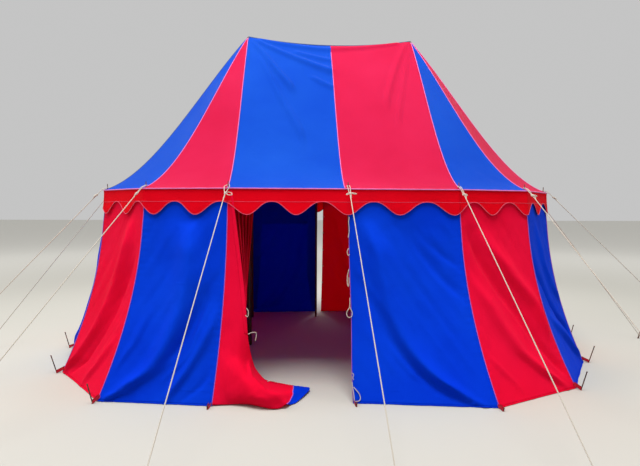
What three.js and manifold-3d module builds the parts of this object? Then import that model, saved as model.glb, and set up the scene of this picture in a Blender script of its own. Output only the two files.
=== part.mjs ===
// An oval canvas pavilion tent on two centre poles, pitched with side poles, guy ropes and pegs.
// Millimetres. X runs along the ridge, the open door faces -Y and the ground is z = 0.
import * as THREE from 'three';
import { mergeVertices } from 'three/addons/utils/BufferGeometryUtils.js';
import Module from 'manifold-3d';

const wasm = await Module();
wasm.setup();

// Driving dimensions
const seatGap = 0.3;                // between pieces that rest on each other
const peakHeight = 3600;            // ground to the peak over each centre pole
const poleSpan = 1900;              // between the two centre poles
const ridgeSag = 75;                // dip of the free ridge between the peaks
const panelsPerEnd = 6;             // cloth panels round each half-round end
const eave = { halfStraight: 1015, radius: 1495, height: 1800 };
const hem = { halfStraight: 1140, radius: 1830, height: 12 };
const roofSag = 183;                // dip of the roof cloth below a straight line, peak to eave
const roofSagSkew = 1.77;           // above 1 moves the deepest dip towards the eave
const roofThick = 10;
const roofRows = 10;                // facets from peak to eave
const wallThick = 8;
const wallRows = 8;                 // facets from eave to hem
const wallColumns = 4;              // facets along each bay
const wallTopDrop = 16;             // from the eave down to the top of the walls
const flarePower = 2;               // how late the walls sweep out to the hem
const peakCut = 0.004;              // share of the slope left off where the end panels meet
const valance = {
  thick: 5, drop: 230, archRise: 115, lean: 14, wavePower: 1.25, columnsPerWave: 8,
  tips: [-679, -293, 171, 594, 1050, 1512, 2005, 2403, 2795],   // along the eave from corner 15
  evenWaves: 8,                     // from the last of these to half way round
};
const backDoor = { rightTrim: 103, leftTrim: -19 };   // cloth edges short of corner 8, or past it
const centrePole = { radius: 27, tipRadius: 4, tipHeight: 36 };
const sidePole = { radius: 15, inset: 35, topDrop: 5, spikeRadius: 4, spikeRise: 46 };
const spikeHole = { below: 60, above: 90 };   // from the eave
const peakHole = { below: 400, above: 50 };   // from the peak
const rope = {
  radius: 4, sides: 6, eyeRadius: 8.5, eyeSides: 8, eyeLift: 12, bendOut: 12, bendLift: 5, lap: 2,
  knotRadius: 15, knotReach: 80,
};
const peg = { radius: 5, height: 185, leanDegrees: 15, reach: 68, shortHeight: 34 };
const guyPeg = { radius: 8, height: 210, leanDegrees: 18, holdHeight: 50 };
const hemTape = {
  thick: 4, low: 34, high: 74, endGap: 4, cutGap: 1, skinDepth: 20, cutDepth: 60,
  strapWidth: 26, strapHeight: 44, strapFall: 30, strapMargin: 5, strapRoot: 1, strapPast: 12,
};

// The tent as it stands: corners and pegs that were set a little off the regular oval, by corner
const eaveShift = { 1: [20, -8], 3: [-40, 24], 8: [-65, 0], 13: [-20, -6], 14: [-27, -8], 15: [-10, 0] };
const hemShift = {
  0: [41, 30], 1: [81, -139], 2: [57, 0], 3: [-76, 58], 8: [-65, 0],
  13: [5, 65], 14: [-44, -36], 15: [13, 47],
};
const poleShift = { 0: [30, 0] };   // a pole's top off its corner
const poleKick = { 0: [70, -50] };  // a pole's foot off its top
// Each guy rope, from the middle of the front to the back
const guyHeadings = [2, 5, 14, 60, 90, 120, 148, 172];   // degrees from -Y towards +X
const guyHeadingShift = { 11: -20 };
const guyReaches = [1950, 1950, 1950, 1650, 1450, 1650, 1850, 1950];   // from eave corner to peg
const lowPegCorners = [0, 1, 15];   // pegs driven almost home

const cornerCount = 2 * panelsPerEnd + 4;
const halfCount = cornerCount / 2;
const endStep = Math.PI / panelsPerEnd;

const colours = {
  roofBlue: 0x1f5ae0, roofRed: 0xf02c55, wallBlue: 0x0a3cd8, wallRed: 0xe80a34, valanceRed: 0xd4001e,
  ropeCream: 0xe8e0d0, poleWood: 0xb98d5a, pegIron: 0x5a3f33,
};

function fabric(colour) {
  return new THREE.MeshStandardMaterial({ color: colour, roughness: 0.8, metalness: 0 });
}

const materials = {
  roofBlue: fabric(colours.roofBlue),
  roofRed: fabric(colours.roofRed),
  wallBlue: fabric(colours.wallBlue),
  wallRed: fabric(colours.wallRed),
  valance: fabric(colours.valanceRed),
  rope: new THREE.MeshStandardMaterial({ color: colours.ropeCream, roughness: 0.9, metalness: 0 }),
  wood: new THREE.MeshStandardMaterial({ color: colours.poleWood, roughness: 0.7, metalness: 0 }),
  iron: new THREE.MeshStandardMaterial({ color: colours.pegIron, roughness: 0.6, metalness: 0.7 }),
};

// Solids and booleans
function toSolid(geometry) {
  const bare = geometry.clone();
  bare.deleteAttribute('normal');
  bare.deleteAttribute('uv');
  const merged = mergeVertices(bare, 1e-3);
  const mesh = new wasm.Mesh({
    numProp: 3,
    vertProperties: new Float32Array(merged.attributes.position.array),
    triVerts: new Uint32Array(merged.index.array),
  });
  return new wasm.Manifold(mesh);
}

function toGeometry(solid) {
  const mesh = solid.getMesh();
  const geometry = new THREE.BufferGeometry();
  geometry.setAttribute('position', new THREE.BufferAttribute(new Float32Array(mesh.vertProperties), 3));
  geometry.setIndex(new THREE.BufferAttribute(new Uint32Array(mesh.triVerts), 1));
  return geometry;
}

function joined(geometries) {
  return toGeometry(geometries.map(toSolid).reduce((whole, next) => whole.add(next)));
}

function carved(geometry, cutters) {
  return toGeometry(cutters.reduce((whole, cutter) => whole.subtract(toSolid(cutter)), toSolid(geometry)));
}

function signedVolume(geometry) {
  const position = geometry.attributes.position;
  const index = geometry.index;
  const corners = [new THREE.Vector3(), new THREE.Vector3(), new THREE.Vector3()];
  let total = 0;
  for (let i = 0; i < index.count; i += 3) {
    corners.forEach((corner, j) => corner.fromBufferAttribute(position, index.getX(i + j)));
    total += corners[0].dot(corners[1].clone().cross(corners[2])) / 6;
  }
  return total;
}

// A closed sheet of cloth: a box of segments whose points are placed by a function of
// u (along), v (down) and w (0 on the inner face, 1 on the outer), each from 0 to 1.
function bentSheet(columns, rows, place) {
  const geometry = new THREE.BoxGeometry(1, 1, 1, columns, rows, 1);
  const position = geometry.attributes.position;
  for (let i = 0; i < position.count; i += 1) {
    const point = place(position.getX(i) + 0.5, 0.5 - position.getY(i), position.getZ(i) + 0.5);
    position.setXYZ(i, point.x, point.y, point.z);
  }
  geometry.deleteAttribute('normal');
  geometry.deleteAttribute('uv');
  const sheet = mergeVertices(geometry, 1e-4);
  if (signedVolume(sheet) < 0) {
    const index = sheet.index.array;
    for (let i = 0; i < index.length; i += 3) {
      [index[i + 1], index[i + 2]] = [index[i + 2], index[i + 1]];
    }
  }
  return sheet;
}

// A round bar between two points
function bar(from, to, radius, sides) {
  const along = to.clone().sub(from);
  const geometry = new THREE.CylinderGeometry(radius, radius, along.length(), sides);
  const standing = new THREE.Vector3(0, 1, 0);
  const turn = new THREE.Quaternion().setFromUnitVectors(standing, along.clone().normalize());
  geometry.applyQuaternion(turn);
  const middle = from.clone().add(to).multiplyScalar(0.5);
  return geometry.translate(middle.x, middle.y, middle.z);
}

// The plan: corners run anticlockwise seen from above, from 0 at the middle of the front
function cornerIndex(index) {
  return ((index % cornerCount) + cornerCount) % cornerCount;
}

function heading(index) {
  const corner = cornerIndex(index);
  const k = corner % halfCount;
  let angle = (k - 1) * endStep;
  if (k === 0) {
    angle = 0;
  } else if (k === 1) {
    angle = endStep / 4;
  } else if (k === halfCount - 1) {
    angle = Math.PI - endStep / 4;
  }
  return corner >= halfCount ? angle + Math.PI : angle;
}

function mitre(index) {
  const k = cornerIndex(index) % halfCount;
  if (k === 0) {
    return 1;
  }
  return 1 / Math.cos(k === 1 || k === halfCount - 1 ? endStep / 4 : endStep / 2);
}

function outward(angle) {
  return new THREE.Vector2(Math.sin(angle), -Math.cos(angle));
}

// A corner of the eave or hem oval, moved inwards by inset
function cornerPlan(index, ring, shifts, inset) {
  const corner = cornerIndex(index);
  const k = corner % halfCount;
  const angle = (k - 1) * endStep;
  const side = corner >= halfCount ? -1 : 1;
  const plan = new THREE.Vector2(
    k === 0 ? 0 : ring.halfStraight + ring.radius * Math.sin(angle),
    k === 0 ? -ring.radius : -ring.radius * Math.cos(angle),
  ).multiplyScalar(side);
  const shift = shifts[corner] ?? [0, 0];
  plan.add(new THREE.Vector2(shift[0], shift[1]));
  return plan.addScaledVector(outward(heading(corner)), -inset * mitre(corner));
}

const eavePlan = (index, inset = 0) => cornerPlan(index, eave, eaveShift, inset);
const hemPlan = (index, inset = 0) => cornerPlan(index, hem, hemShift, inset);

// Takes a value for each corner from a run of bays, with position counted in bays
function alongBays(position, first, last, valueAt) {
  const bay = Math.min(Math.max(Math.floor(position), first), last - 1);
  return valueAt(bay).clone().lerp(valueAt(bay + 1), position - bay);
}

// Roof
const halfSpan = poleSpan / 2;

function isEndCorner(index) {
  const k = cornerIndex(index) % halfCount;
  return k > 1 && k < halfCount - 1;
}

function ridgePoint(position) {
  const nearest = Math.round(position);
  const middles = [0, halfCount, cornerCount, -halfCount];
  const fromMiddle = Math.min(...middles.map((middle) => Math.abs(position - middle)));
  const k = cornerIndex(nearest);
  if (fromMiddle >= 1 || isEndCorner(nearest)) {
    const side = (position > 0 && position < halfCount) ? 1 : -1;
    return new THREE.Vector3(side * halfSpan, 0, peakHeight);
  }
  const frontHalf = Math.abs(position) < 2 || k > cornerCount - 2;
  const along = frontHalf ? position : halfCount - position;
  const x = halfSpan * along;
  return new THREE.Vector3(x, 0, peakHeight - ridgeSag * (1 - along * along));
}

function roofPoint(position, first, last, t, drop) {
  const top = ridgePoint(position);
  const edge = alongBays(position, first, last, (index) => eavePlan(index));
  const dip = 4 * roofSag * (t ** roofSagSkew) * (1 - t ** roofSagSkew);
  return new THREE.Vector3(
    top.x + (edge.x - top.x) * t,
    top.y + (edge.y - top.y) * t,
    top.z + (eave.height - top.z) * t - dip - drop,
  );
}

// Moves a point away from the neighbouring piece at either end of a run of bays
function keepOff(point, u, startNormal, endNormal) {
  const half = seatGap / 2;
  if (u === 0) {
    point.x += startNormal.x * half;
    point.y += startNormal.y * half;
  } else if (u === 1) {
    point.x += endNormal.x * half;
    point.y += endNormal.y * half;
  }
  return point;
}

// Plan direction at right angles to a seam line, pointing to higher corner numbers
function seamNormal(index) {
  const out = outward(heading(index));
  return new THREE.Vector2(-out.y, out.x);
}

function sidePolePlan(index) {
  const shift = poleShift[cornerIndex(index)] ?? [0, 0];
  return eavePlan(index, sidePole.inset).add(new THREE.Vector2(shift[0], shift[1]));
}

// Height of the roof's upper face over a corner's seam, at a distance in from the eave
function roofTopAt(index, inset) {
  const corner = eavePlan(index);
  const top = ridgePoint(index);
  const run = Math.hypot(corner.x - top.x, corner.y - top.y);
  const lastRow = roofPoint(index, index, index + 1, 1 - 1 / roofRows, 0).z;
  return eave.height + (lastRow - eave.height) * roofRows * inset / run;
}

function upright(plan, radius, low, high, sides) {
  return bar(new THREE.Vector3(plan.x, plan.y, low), new THREE.Vector3(plan.x, plan.y, high), radius, sides);
}

const poleSides = 16;
const spikeSides = 8;
const pegSides = 6;

function roofCutters(first, last) {
  const cutters = [];
  for (let corner = first; corner <= last; corner += 1) {
    const radius = sidePole.spikeRadius + seatGap;
    const [low, high] = [eave.height - spikeHole.below, eave.height + spikeHole.above];
    cutters.push(upright(sidePolePlan(corner), radius, low, high, spikeSides));
  }
  for (const side of [-1, 1]) {
    const plan = new THREE.Vector2(side * halfSpan, 0);
    const [low, high] = [peakHeight - peakHole.below, peakHeight + peakHole.above];
    cutters.push(upright(plan, centrePole.radius + seatGap, low, high, poleSides));
  }
  return cutters;
}

function roofSection(first, last, columnsPerBay) {
  const bays = last - first;
  const tip = isEndCorner(first) || isEndCorner(last) ? peakCut : 0;
  const geometry = bentSheet(bays * columnsPerBay, roofRows, (u, v, w) => {
    const point = roofPoint(first + u * bays, first, last, tip + (1 - tip) * v, (1 - w) * roofThick);
    if (!tip) {
      point.y += (first < halfCount - 1 ? -1 : 1) * seatGap / 2 * (v === 0 ? 1 : 0);
    }
    return keepOff(point, u, seamNormal(first), seamNormal(last).negate());
  });
  return carved(geometry, roofCutters(first, last));
}

// Valance: a straight band whose lower edge is cut in one wave, run right round the eave.
// Distances along the eave start at corner 15, the left one of the front
const eaveMarks = [0];
for (let corner = 0; corner < cornerCount; corner += 1) {
  eaveMarks.push(eaveMarks[corner] + eavePlan(corner - 1).distanceTo(eavePlan(corner)));
}

function placeWaveTips() {
  const half = eaveMarks[cornerCount] / 2;
  const firstEven = valance.tips.at(-1);
  const evenWave = (half + valance.tips[0] - firstEven) / valance.evenWaves;
  const halfTips = [...valance.tips];
  for (let wave = 1; wave < valance.evenWaves; wave += 1) {
    halfTips.push(firstEven + wave * evenWave);
  }
  const allTips = [...halfTips, ...halfTips.map((run) => run + half)];
  return [...allTips, ...allTips.slice(0, 3).map((run) => run + 2 * half)];
}

const waveTips = placeWaveTips();

function waveAt(run) {
  const next = waveTips.findIndex((tip) => tip > run);
  const part = (run - waveTips[next - 1]) / (waveTips[next] - waveTips[next - 1]);
  return (0.5 + 0.5 * Math.cos(2 * Math.PI * part)) ** valance.wavePower;
}

// Turns a distance along the eave into a position counted in bays
function bayPosition(run) {
  const next = Math.max(eaveMarks.findIndex((mark) => mark >= run), 1);
  return next - 2 + (run - eaveMarks[next - 1]) / (eaveMarks[next] - eaveMarks[next - 1]);
}

// Where the band's columns stand: evenly in each wave, with the nearest one put on each corner
function valanceColumns(first, last) {
  const marks = eaveMarks.slice(first + 1, last + 2);
  const runs = [];
  waveTips.slice(0, -1).forEach((tip, wave) => {
    for (let step = 0; step < valance.columnsPerWave; step += 1) {
      runs.push(tip + (waveTips[wave + 1] - tip) * step / valance.columnsPerWave);
    }
  });
  const columns = runs.filter((run) => run > marks[0] && run < marks.at(-1));
  marks.forEach((mark) => {
    const distances = columns.map((run) => Math.abs(run - mark));
    columns[distances.indexOf(Math.min(...distances))] = mark;
  });
  return columns;
}

function valanceSection(first, last) {
  const band = valance.drop - valance.archRise;
  const columns = valanceColumns(first, last);
  return bentSheet(columns.length - 1, 1, (u, v, w) => {
    const run = columns[Math.round(u * (columns.length - 1))];
    const inset = (1 - w) * valance.thick - v * valance.lean;
    const plan = alongBays(bayPosition(run), first, last, (index) => eavePlan(index, inset));
    const depth = roofThick + seatGap + v * (band + valance.archRise * waveAt(run) - roofThick);
    const point = new THREE.Vector3(plan.x, plan.y, eave.height - depth);
    return keepOff(point, u, seamNormal(first), seamNormal(last).negate());
  });
}

// Walls
const wallTop = eave.height - wallTopDrop;

function wallPoint(position, first, last, v, inset) {
  const wallInset = valance.thick + seatGap + inset;
  const top = alongBays(position, first, last, (index) => eavePlan(index, wallInset));
  const foot = alongBays(position, first, last, (index) => hemPlan(index, inset));
  const plan = top.lerp(foot, v ** flarePower);
  return new THREE.Vector3(plan.x, plan.y, wallTop + (hem.height - wallTop) * v);
}

// The same on the wall's facets, whose rows are joined by straight lines
function wallFacetPoint(position, first, last, v, inset) {
  const row = Math.min(Math.floor(v * wallRows), wallRows - 1);
  const upper = wallPoint(position, first, last, row / wallRows, inset);
  const lower = wallPoint(position, first, last, (row + 1) / wallRows, inset);
  return upper.lerp(lower, v * wallRows - row);
}

function wallSection(first, last, trimStart = 0, trimEnd = 0) {
  const bays = last - first;
  return bentSheet(bays * wallColumns, wallRows, (u, v, w) => {
    const point = wallPoint(first + u * bays, first, last, v, (1 - w) * wallThick);
    const start = seamNormal(first).multiplyScalar(1 + 2 * trimStart / seatGap);
    const end = seamNormal(last).multiplyScalar(-1 - 2 * trimEnd / seatGap);
    return keepOff(point, u, start, end);
  });
}

// The front door: a wall panel drawn back to its seam, with its free part trailing on the ground
const flap = {
  topWidth: 0.06, footWidth: 0.46, gatherPower: 3, thick: 34, trailHeight: 46, curveSteps: 4,
  trailFront: [[-830, -1795], [-610, -1890], [-450, -1790], [-310, -1500]],
  trailBack: [[-440, -1440], [-610, -1530], [-860, -1690]],
  rootFront: [30, 26],              // from the hem's corner
  rootBack: [40, 60],
};

function doorFlap(bay) {
  const hanging = bentSheet(6, 10, (u, v, w) => {
    const fraction = u * (flap.topWidth + (flap.footWidth - flap.topWidth) * v ** flap.gatherPower);
    const inset = (1 - w) * (wallThick + (flap.thick - wallThick) * u);
    const point = wallPoint(bay + fraction, bay, bay + 1, v, inset);
    return keepOff(point, u === 0 ? 0 : 0.5, seamNormal(bay), seamNormal(bay));
  });
  const foot = hemPlan(bay);
  const toPoint = ([x, y]) => new THREE.Vector2(x, y);
  const trail = new THREE.Shape();
  trail.moveTo(foot.x + flap.rootFront[0], foot.y + flap.rootFront[1]);
  trail.splineThru(flap.trailFront.map(toPoint));
  trail.splineThru([...flap.trailBack.map(toPoint), foot.clone().add(toPoint(flap.rootBack))]);
  const heap = new THREE.ExtrudeGeometry(trail, {
    depth: flap.trailHeight,
    bevelEnabled: false,
    curveSegments: flap.curveSteps,
  });
  return joined([hanging, heap]);
}

// Poles
function centrePoleShape() {
  const { radius, tipRadius, tipHeight } = centrePole;
  const profile = [
    new THREE.Vector2(0, 0),
    new THREE.Vector2(radius, 0),
    new THREE.Vector2(radius, peakHeight - tipHeight),
    new THREE.Vector2(tipRadius, peakHeight),
    new THREE.Vector2(0, peakHeight),
  ];
  return new THREE.LatheGeometry(profile, poleSides).rotateX(Math.PI / 2);
}

// A side pole with its spike, which may stand with its foot kicked away, cut flat on the ground
function sidePoleShape(corner) {
  const { radius, inset, topDrop, spikeRadius, spikeRise } = sidePole;
  const shoulder = eave.height - topDrop;
  const profile = [
    new THREE.Vector2(0, 0),
    new THREE.Vector2(radius, 0),
    new THREE.Vector2(radius, shoulder),
    new THREE.Vector2(spikeRadius, shoulder),
    new THREE.Vector2(spikeRadius, roofTopAt(corner, inset) + spikeRise),
    new THREE.Vector2(0, roofTopAt(corner, inset) + spikeRise),
  ];
  const shape = new THREE.LatheGeometry(profile, spikeSides).rotateX(Math.PI / 2);
  const kick = poleKick[corner] ?? [0, 0];
  const position = shape.attributes.position;
  for (let i = 0; i < position.count; i += 1) {
    const fall = Math.max(0, 1 - position.getZ(i) / shoulder);
    position.setX(i, position.getX(i) + kick[0] * fall);
    position.setY(i, position.getY(i) + kick[1] * fall);
  }
  return shape;
}

// A peg that leans away from the tent, cut flat at the ground
function pegShape(plan, angle, radius, height, leanDegrees) {
  const geometry = upright(new THREE.Vector2(0, 0), radius, 0, height, pegSides);
  const lean = Math.tan(THREE.MathUtils.degToRad(leanDegrees));
  const out = outward(angle);
  const position = geometry.attributes.position;
  for (let i = 0; i < position.count; i += 1) {
    const reach = position.getZ(i) * lean;
    position.setX(i, position.getX(i) + plan.x + out.x * reach);
    position.setY(i, position.getY(i) + plan.y + out.y * reach);
  }
  return geometry;
}

// Guy ropes: an eye on the spike, a knot outside the eave and a straight run to the peg
function guyShape(corner) {
  const heading = guyHeadings[corner % halfCount] + (guyHeadingShift[corner] ?? 0);
  const angle = THREE.MathUtils.degToRad(heading + (corner >= halfCount ? 180 : 0));
  const out = outward(angle);
  const spike = sidePolePlan(corner);
  const reachOut = (distance, z) => {
    const plan = spike.clone().addScaledVector(out, distance);
    return new THREE.Vector3(plan.x, plan.y, z);
  };
  const eyeHeight = roofTopAt(corner, sidePole.inset) + rope.eyeLift;
  const eye = new THREE.TorusGeometry(rope.eyeRadius + seatGap, rope.radius, rope.sides, rope.eyeSides)
    .translate(spike.x, spike.y, eyeHeight);
  const bend = reachOut(sidePole.inset + rope.bendOut, eave.height + rope.radius + rope.bendLift);
  const reach = guyReaches[corner % halfCount];
  const pegPlan = cornerPlan(corner, eave, {}, sidePole.inset).addScaledVector(out, reach);
  const holdPlan = pegPlan.clone().addScaledVector(
    out,
    guyPeg.holdHeight * Math.tan(THREE.MathUtils.degToRad(guyPeg.leanDegrees)),
  );
  const hold = new THREE.Vector3(holdPlan.x, holdPlan.y, guyPeg.holdHeight);
  const run = hold.clone().sub(bend).normalize();
  const lapEnd = bend.clone().addScaledVector(run, rope.lap);
  const lapStart = bend.clone().addScaledVector(run, -rope.lap / 2);
  const knotAt = bend.clone().addScaledVector(run, rope.knotReach);
  const knot = new THREE.IcosahedronGeometry(rope.knotRadius, 0).translate(knotAt.x, knotAt.y, knotAt.z);
  return joined([
    eye,
    bar(reachOut(rope.eyeRadius, eyeHeight), lapEnd, rope.radius, rope.sides),
    bar(lapStart, hold, rope.radius, rope.sides),
    knot,
    pegShape(pegPlan, angle, guyPeg.radius, guyPeg.height, guyPeg.leanDegrees),
  ]);
}

// Hem pegs: a tape along the outside of the hem carries the peg loops and their pegs
function hemPegs(first, last, trimEnd) {
  const bays = last - first;
  const endMargin = hemTape.strapWidth / 2 + hemTape.strapMargin;
  const tapeV = (z) => (wallTop - z) / (wallTop - hem.height);
  const alongHem = (position, startMargin, stopMargin) => THREE.MathUtils.clamp(
    position,
    first + startMargin / hemPlan(first).distanceTo(hemPlan(first + 1)),
    last - (trimEnd + stopMargin) / hemPlan(last).distanceTo(hemPlan(last - 1)),
  );
  const skin = (endGap, back, face) => bentSheet(bays * wallColumns, wallRows, (u, v, w) => {
    const position = alongHem(first + u * bays, endGap, endGap);
    return wallPoint(position, first, last, v, back + (face - back) * w);
  });
  const middle = (hemTape.low + hemTape.high) / 2;
  const slab = new THREE.BoxGeometry(2 * peakHeight, 2 * peakHeight, hemTape.high - hemTape.low)
    .translate(0, 0, middle);
  const outside = toSolid(skin(hemTape.endGap, hemTape.skinDepth, -seatGap - hemTape.thick));
  const inside = toSolid(skin(hemTape.cutGap, hemTape.cutDepth, -seatGap));
  const tape = toGeometry(outside.subtract(inside).intersect(toSolid(slab)));
  const pieces = [tape];
  for (let corner = first; corner <= last; corner += 1) {
    const out = outward(heading(corner));
    const slide = seamNormal(corner);
    const position = alongHem(corner, endMargin, endMargin);
    const rootInset = -seatGap - hemTape.strapRoot;
    const foot = wallFacetPoint(position, first, last, tapeV(hemTape.strapHeight), rootInset);
    const low = lowPegCorners.includes(cornerIndex(corner));
    const strap = bentSheet(1, 1, (u, v, w) => {
      const across = (u - 0.5) * hemTape.strapWidth;
      const distance = v * (peg.reach + hemTape.strapPast);
      const z = hemTape.strapHeight - v * hemTape.strapFall + w * hemTape.thick;
      return new THREE.Vector3(
        foot.x + out.x * distance + slide.x * across,
        foot.y + out.y * distance + slide.y * across,
        z,
      );
    });
    const pegPlan = new THREE.Vector2(foot.x, foot.y).addScaledVector(out, peg.reach);
    const height = low ? peg.shortHeight : peg.height;
    pieces.push(strap, pegShape(pegPlan, heading(corner), peg.radius, height, peg.leanDegrees));
  }
  return joined(pieces);
}

// Assembly
const tent = new THREE.Group();

function add(name, geometry, material) {
  const mesh = new THREE.Mesh(geometry, material);
  mesh.name = name;
  tent.add(mesh);
}

add('roof_front', roofSection(-1, 1, 4), materials.roofBlue);
add('roof_back', roofSection(halfCount - 1, halfCount + 1, 4), materials.roofRed);
add('roof_right_front', roofSection(1, 3, 1), materials.roofBlue);
add('roof_right_side', roofSection(3, 5, 1), materials.roofBlue);
add('roof_right_back', roofSection(5, 7, 1), materials.roofBlue);
add('roof_left_back', roofSection(9, 11, 1), materials.roofBlue);
add('roof_left_side', roofSection(11, 13, 1), materials.roofBlue);
add('roof_left_front', roofSection(13, 15, 1), materials.roofBlue);

add('valance_front', valanceSection(-1, 1), materials.valance);
add('valance_right', valanceSection(1, halfCount - 1), materials.valance);
add('valance_back', valanceSection(halfCount - 1, halfCount + 1), materials.valance);
add('valance_left', valanceSection(halfCount + 1, cornerCount - 1), materials.valance);

add('wall_front_right', wallSection(0, 1), materials.wallBlue);
add('wall_right_front', wallSection(1, 3), materials.wallRed);
add('wall_right_side', wallSection(3, 5), materials.wallRed);
add('wall_right_back', wallSection(5, 7), materials.wallRed);
add('wall_back_right', wallSection(7, 8, 0, backDoor.rightTrim), materials.wallRed);
add('wall_back_left', wallSection(8, 9, backDoor.leftTrim), materials.wallBlue);
add('wall_left_back', wallSection(9, 11), materials.wallRed);
add('wall_left_side', wallSection(11, 13), materials.wallRed);
add('wall_left_front', wallSection(13, 15), materials.wallRed);
add('door_flap', doorFlap(15), materials.wallRed);

add('centre_pole_left', centrePoleShape().translate(-halfSpan, 0, 0), materials.wood);
add('centre_pole_right', centrePoleShape().translate(halfSpan, 0, 0), materials.wood);
for (let corner = 0; corner < cornerCount; corner += 1) {
  const plan = sidePolePlan(corner);
  add(`side_pole_${corner + 1}`, sidePoleShape(corner).translate(plan.x, plan.y, 0), materials.wood);
}
for (let corner = 0; corner < cornerCount; corner += 1) {
  add(`guy_rope_${corner + 1}`, guyShape(corner), materials.rope);
}
add('hem_pegs_right', hemPegs(0, halfCount, backDoor.rightTrim), materials.iron);
add('hem_pegs_left', hemPegs(halfCount, cornerCount - 1, 0), materials.iron);

export default tent;
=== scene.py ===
# An oval canvas pavilion tent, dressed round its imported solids: cloth, ropes, poles, pegs and their finishes.
# Metres. X runs along the ridge, the open door faces -Y and the ground is z = 0
import math
import re

import bmesh
import bpy
import numpy as np
from mathutils import Matrix, Vector


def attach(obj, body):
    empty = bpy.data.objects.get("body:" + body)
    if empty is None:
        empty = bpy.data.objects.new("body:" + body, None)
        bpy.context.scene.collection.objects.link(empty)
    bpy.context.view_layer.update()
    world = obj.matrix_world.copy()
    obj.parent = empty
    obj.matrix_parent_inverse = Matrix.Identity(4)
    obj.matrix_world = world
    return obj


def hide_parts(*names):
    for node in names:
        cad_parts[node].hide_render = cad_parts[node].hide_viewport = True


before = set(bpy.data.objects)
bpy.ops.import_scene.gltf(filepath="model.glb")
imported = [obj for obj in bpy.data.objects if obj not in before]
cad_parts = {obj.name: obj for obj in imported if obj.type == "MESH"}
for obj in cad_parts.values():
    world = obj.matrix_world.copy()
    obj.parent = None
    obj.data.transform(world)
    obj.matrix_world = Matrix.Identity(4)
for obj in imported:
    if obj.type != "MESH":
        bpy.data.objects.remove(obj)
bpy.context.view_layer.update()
print("frame loaded")


def addObject(name, data):
    made = bpy.data.objects.new(name, data)
    bpy.context.scene.collection.objects.link(made)
    return made


# The camera stands where the photograph was taken, at an adult's eye height
viewpoint = {
    "place": (-0.5263, -5.7159, 1.6261),
    "yaw": 4.14,  # degrees to the right of +Y
    "pitch": -2.92,
    "roll": 0.22,
    "focalPixels": 482.2,
    "imageWidth": 640,
    "sensorWidth": 36.0,
    "clipEnd": 400,
}


def makeCamera():
    cameraData = bpy.data.cameras.new("camera")
    cameraData.sensor_width = viewpoint["sensorWidth"]
    cameraData.lens = viewpoint["sensorWidth"] * viewpoint["focalPixels"] / viewpoint["imageWidth"]
    cameraData.clip_end = viewpoint["clipEnd"]
    camera = addObject("camera", cameraData)
    turn = Matrix.Rotation(math.radians(-viewpoint["yaw"]), 4, "Z")
    tip = Matrix.Rotation(math.radians(90 + viewpoint["pitch"]), 4, "X")
    roll = Matrix.Rotation(math.radians(viewpoint["roll"]), 4, "Z")
    camera.matrix_world = Matrix.Translation(viewpoint["place"]) @ turn @ tip @ roll
    bpy.context.scene.camera = camera


makeCamera()
print("camera placed")


# Finishes. Colours are sRGB hex values, made linear here
def toLinear(hexColour):
    channels = [int(hexColour[at:at + 2], 16) / 255 for at in (1, 3, 5)]
    straight = [c / 12.92 if c <= 0.04045 else ((c + 0.055) / 1.055) ** 2.4 for c in channels]
    return (*straight, 1.0)


# An input's value is a number, a colour, a socket, or a node whose first output is meant
def addNode(tree, kind, inputs=None, **settings):
    node = tree.nodes.new("ShaderNode" + kind)
    for name, value in settings.items():
        setattr(node, name, value)
    for socket, value in (inputs or {}).items():
        if isinstance(value, bpy.types.Node):
            value = value.outputs[0]
        if isinstance(value, bpy.types.NodeSocket):
            tree.links.new(value, node.inputs[socket])
        else:
            node.inputs[socket].default_value = value
    return node


def newFinish(name):
    material = bpy.data.materials.new(name)
    material.use_nodes = True
    material.node_tree.nodes.clear()
    return material, material.node_tree


# Dyed cotton canvas, plain woven: matt, with a faint bloom at grazing angles, packing creases and soft
# puckers. Daylight shines through it in its own colour
canvas = {
    "threadMm": 3.0,  # real threads lie 0.6 mm apart, drawn coarser so that the weave shows close to
    "slubMm": 6.25,  # thick places in the yarn
    "slubTones": (0.93, 1.05),
    "fadeMm": 1111,  # patches that sun and washing left darker or paler
    "fadeStops": (0.32, 0.50, 0.72),
    "puckerMm": 125,
    "creaseGap": (0.43, 0.36),  # metres between the folds that packing left, down and across the cloth
    "creaseWidth": 0.014,
    "creaseWander": 0.06,
    "wanderMm": 435,
    "patchMm": 323,  # the creases show in patches
    "patchEdge": (0.50, 0.68),
    "weaveDepth": 0.0004,
    "creaseDepth": 0.0016,
    "puckerDepth": 0.005,
    "roughness": 0.8,
    "through": 0.42,  # share of the light that goes through each face of the cloth
}


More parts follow.
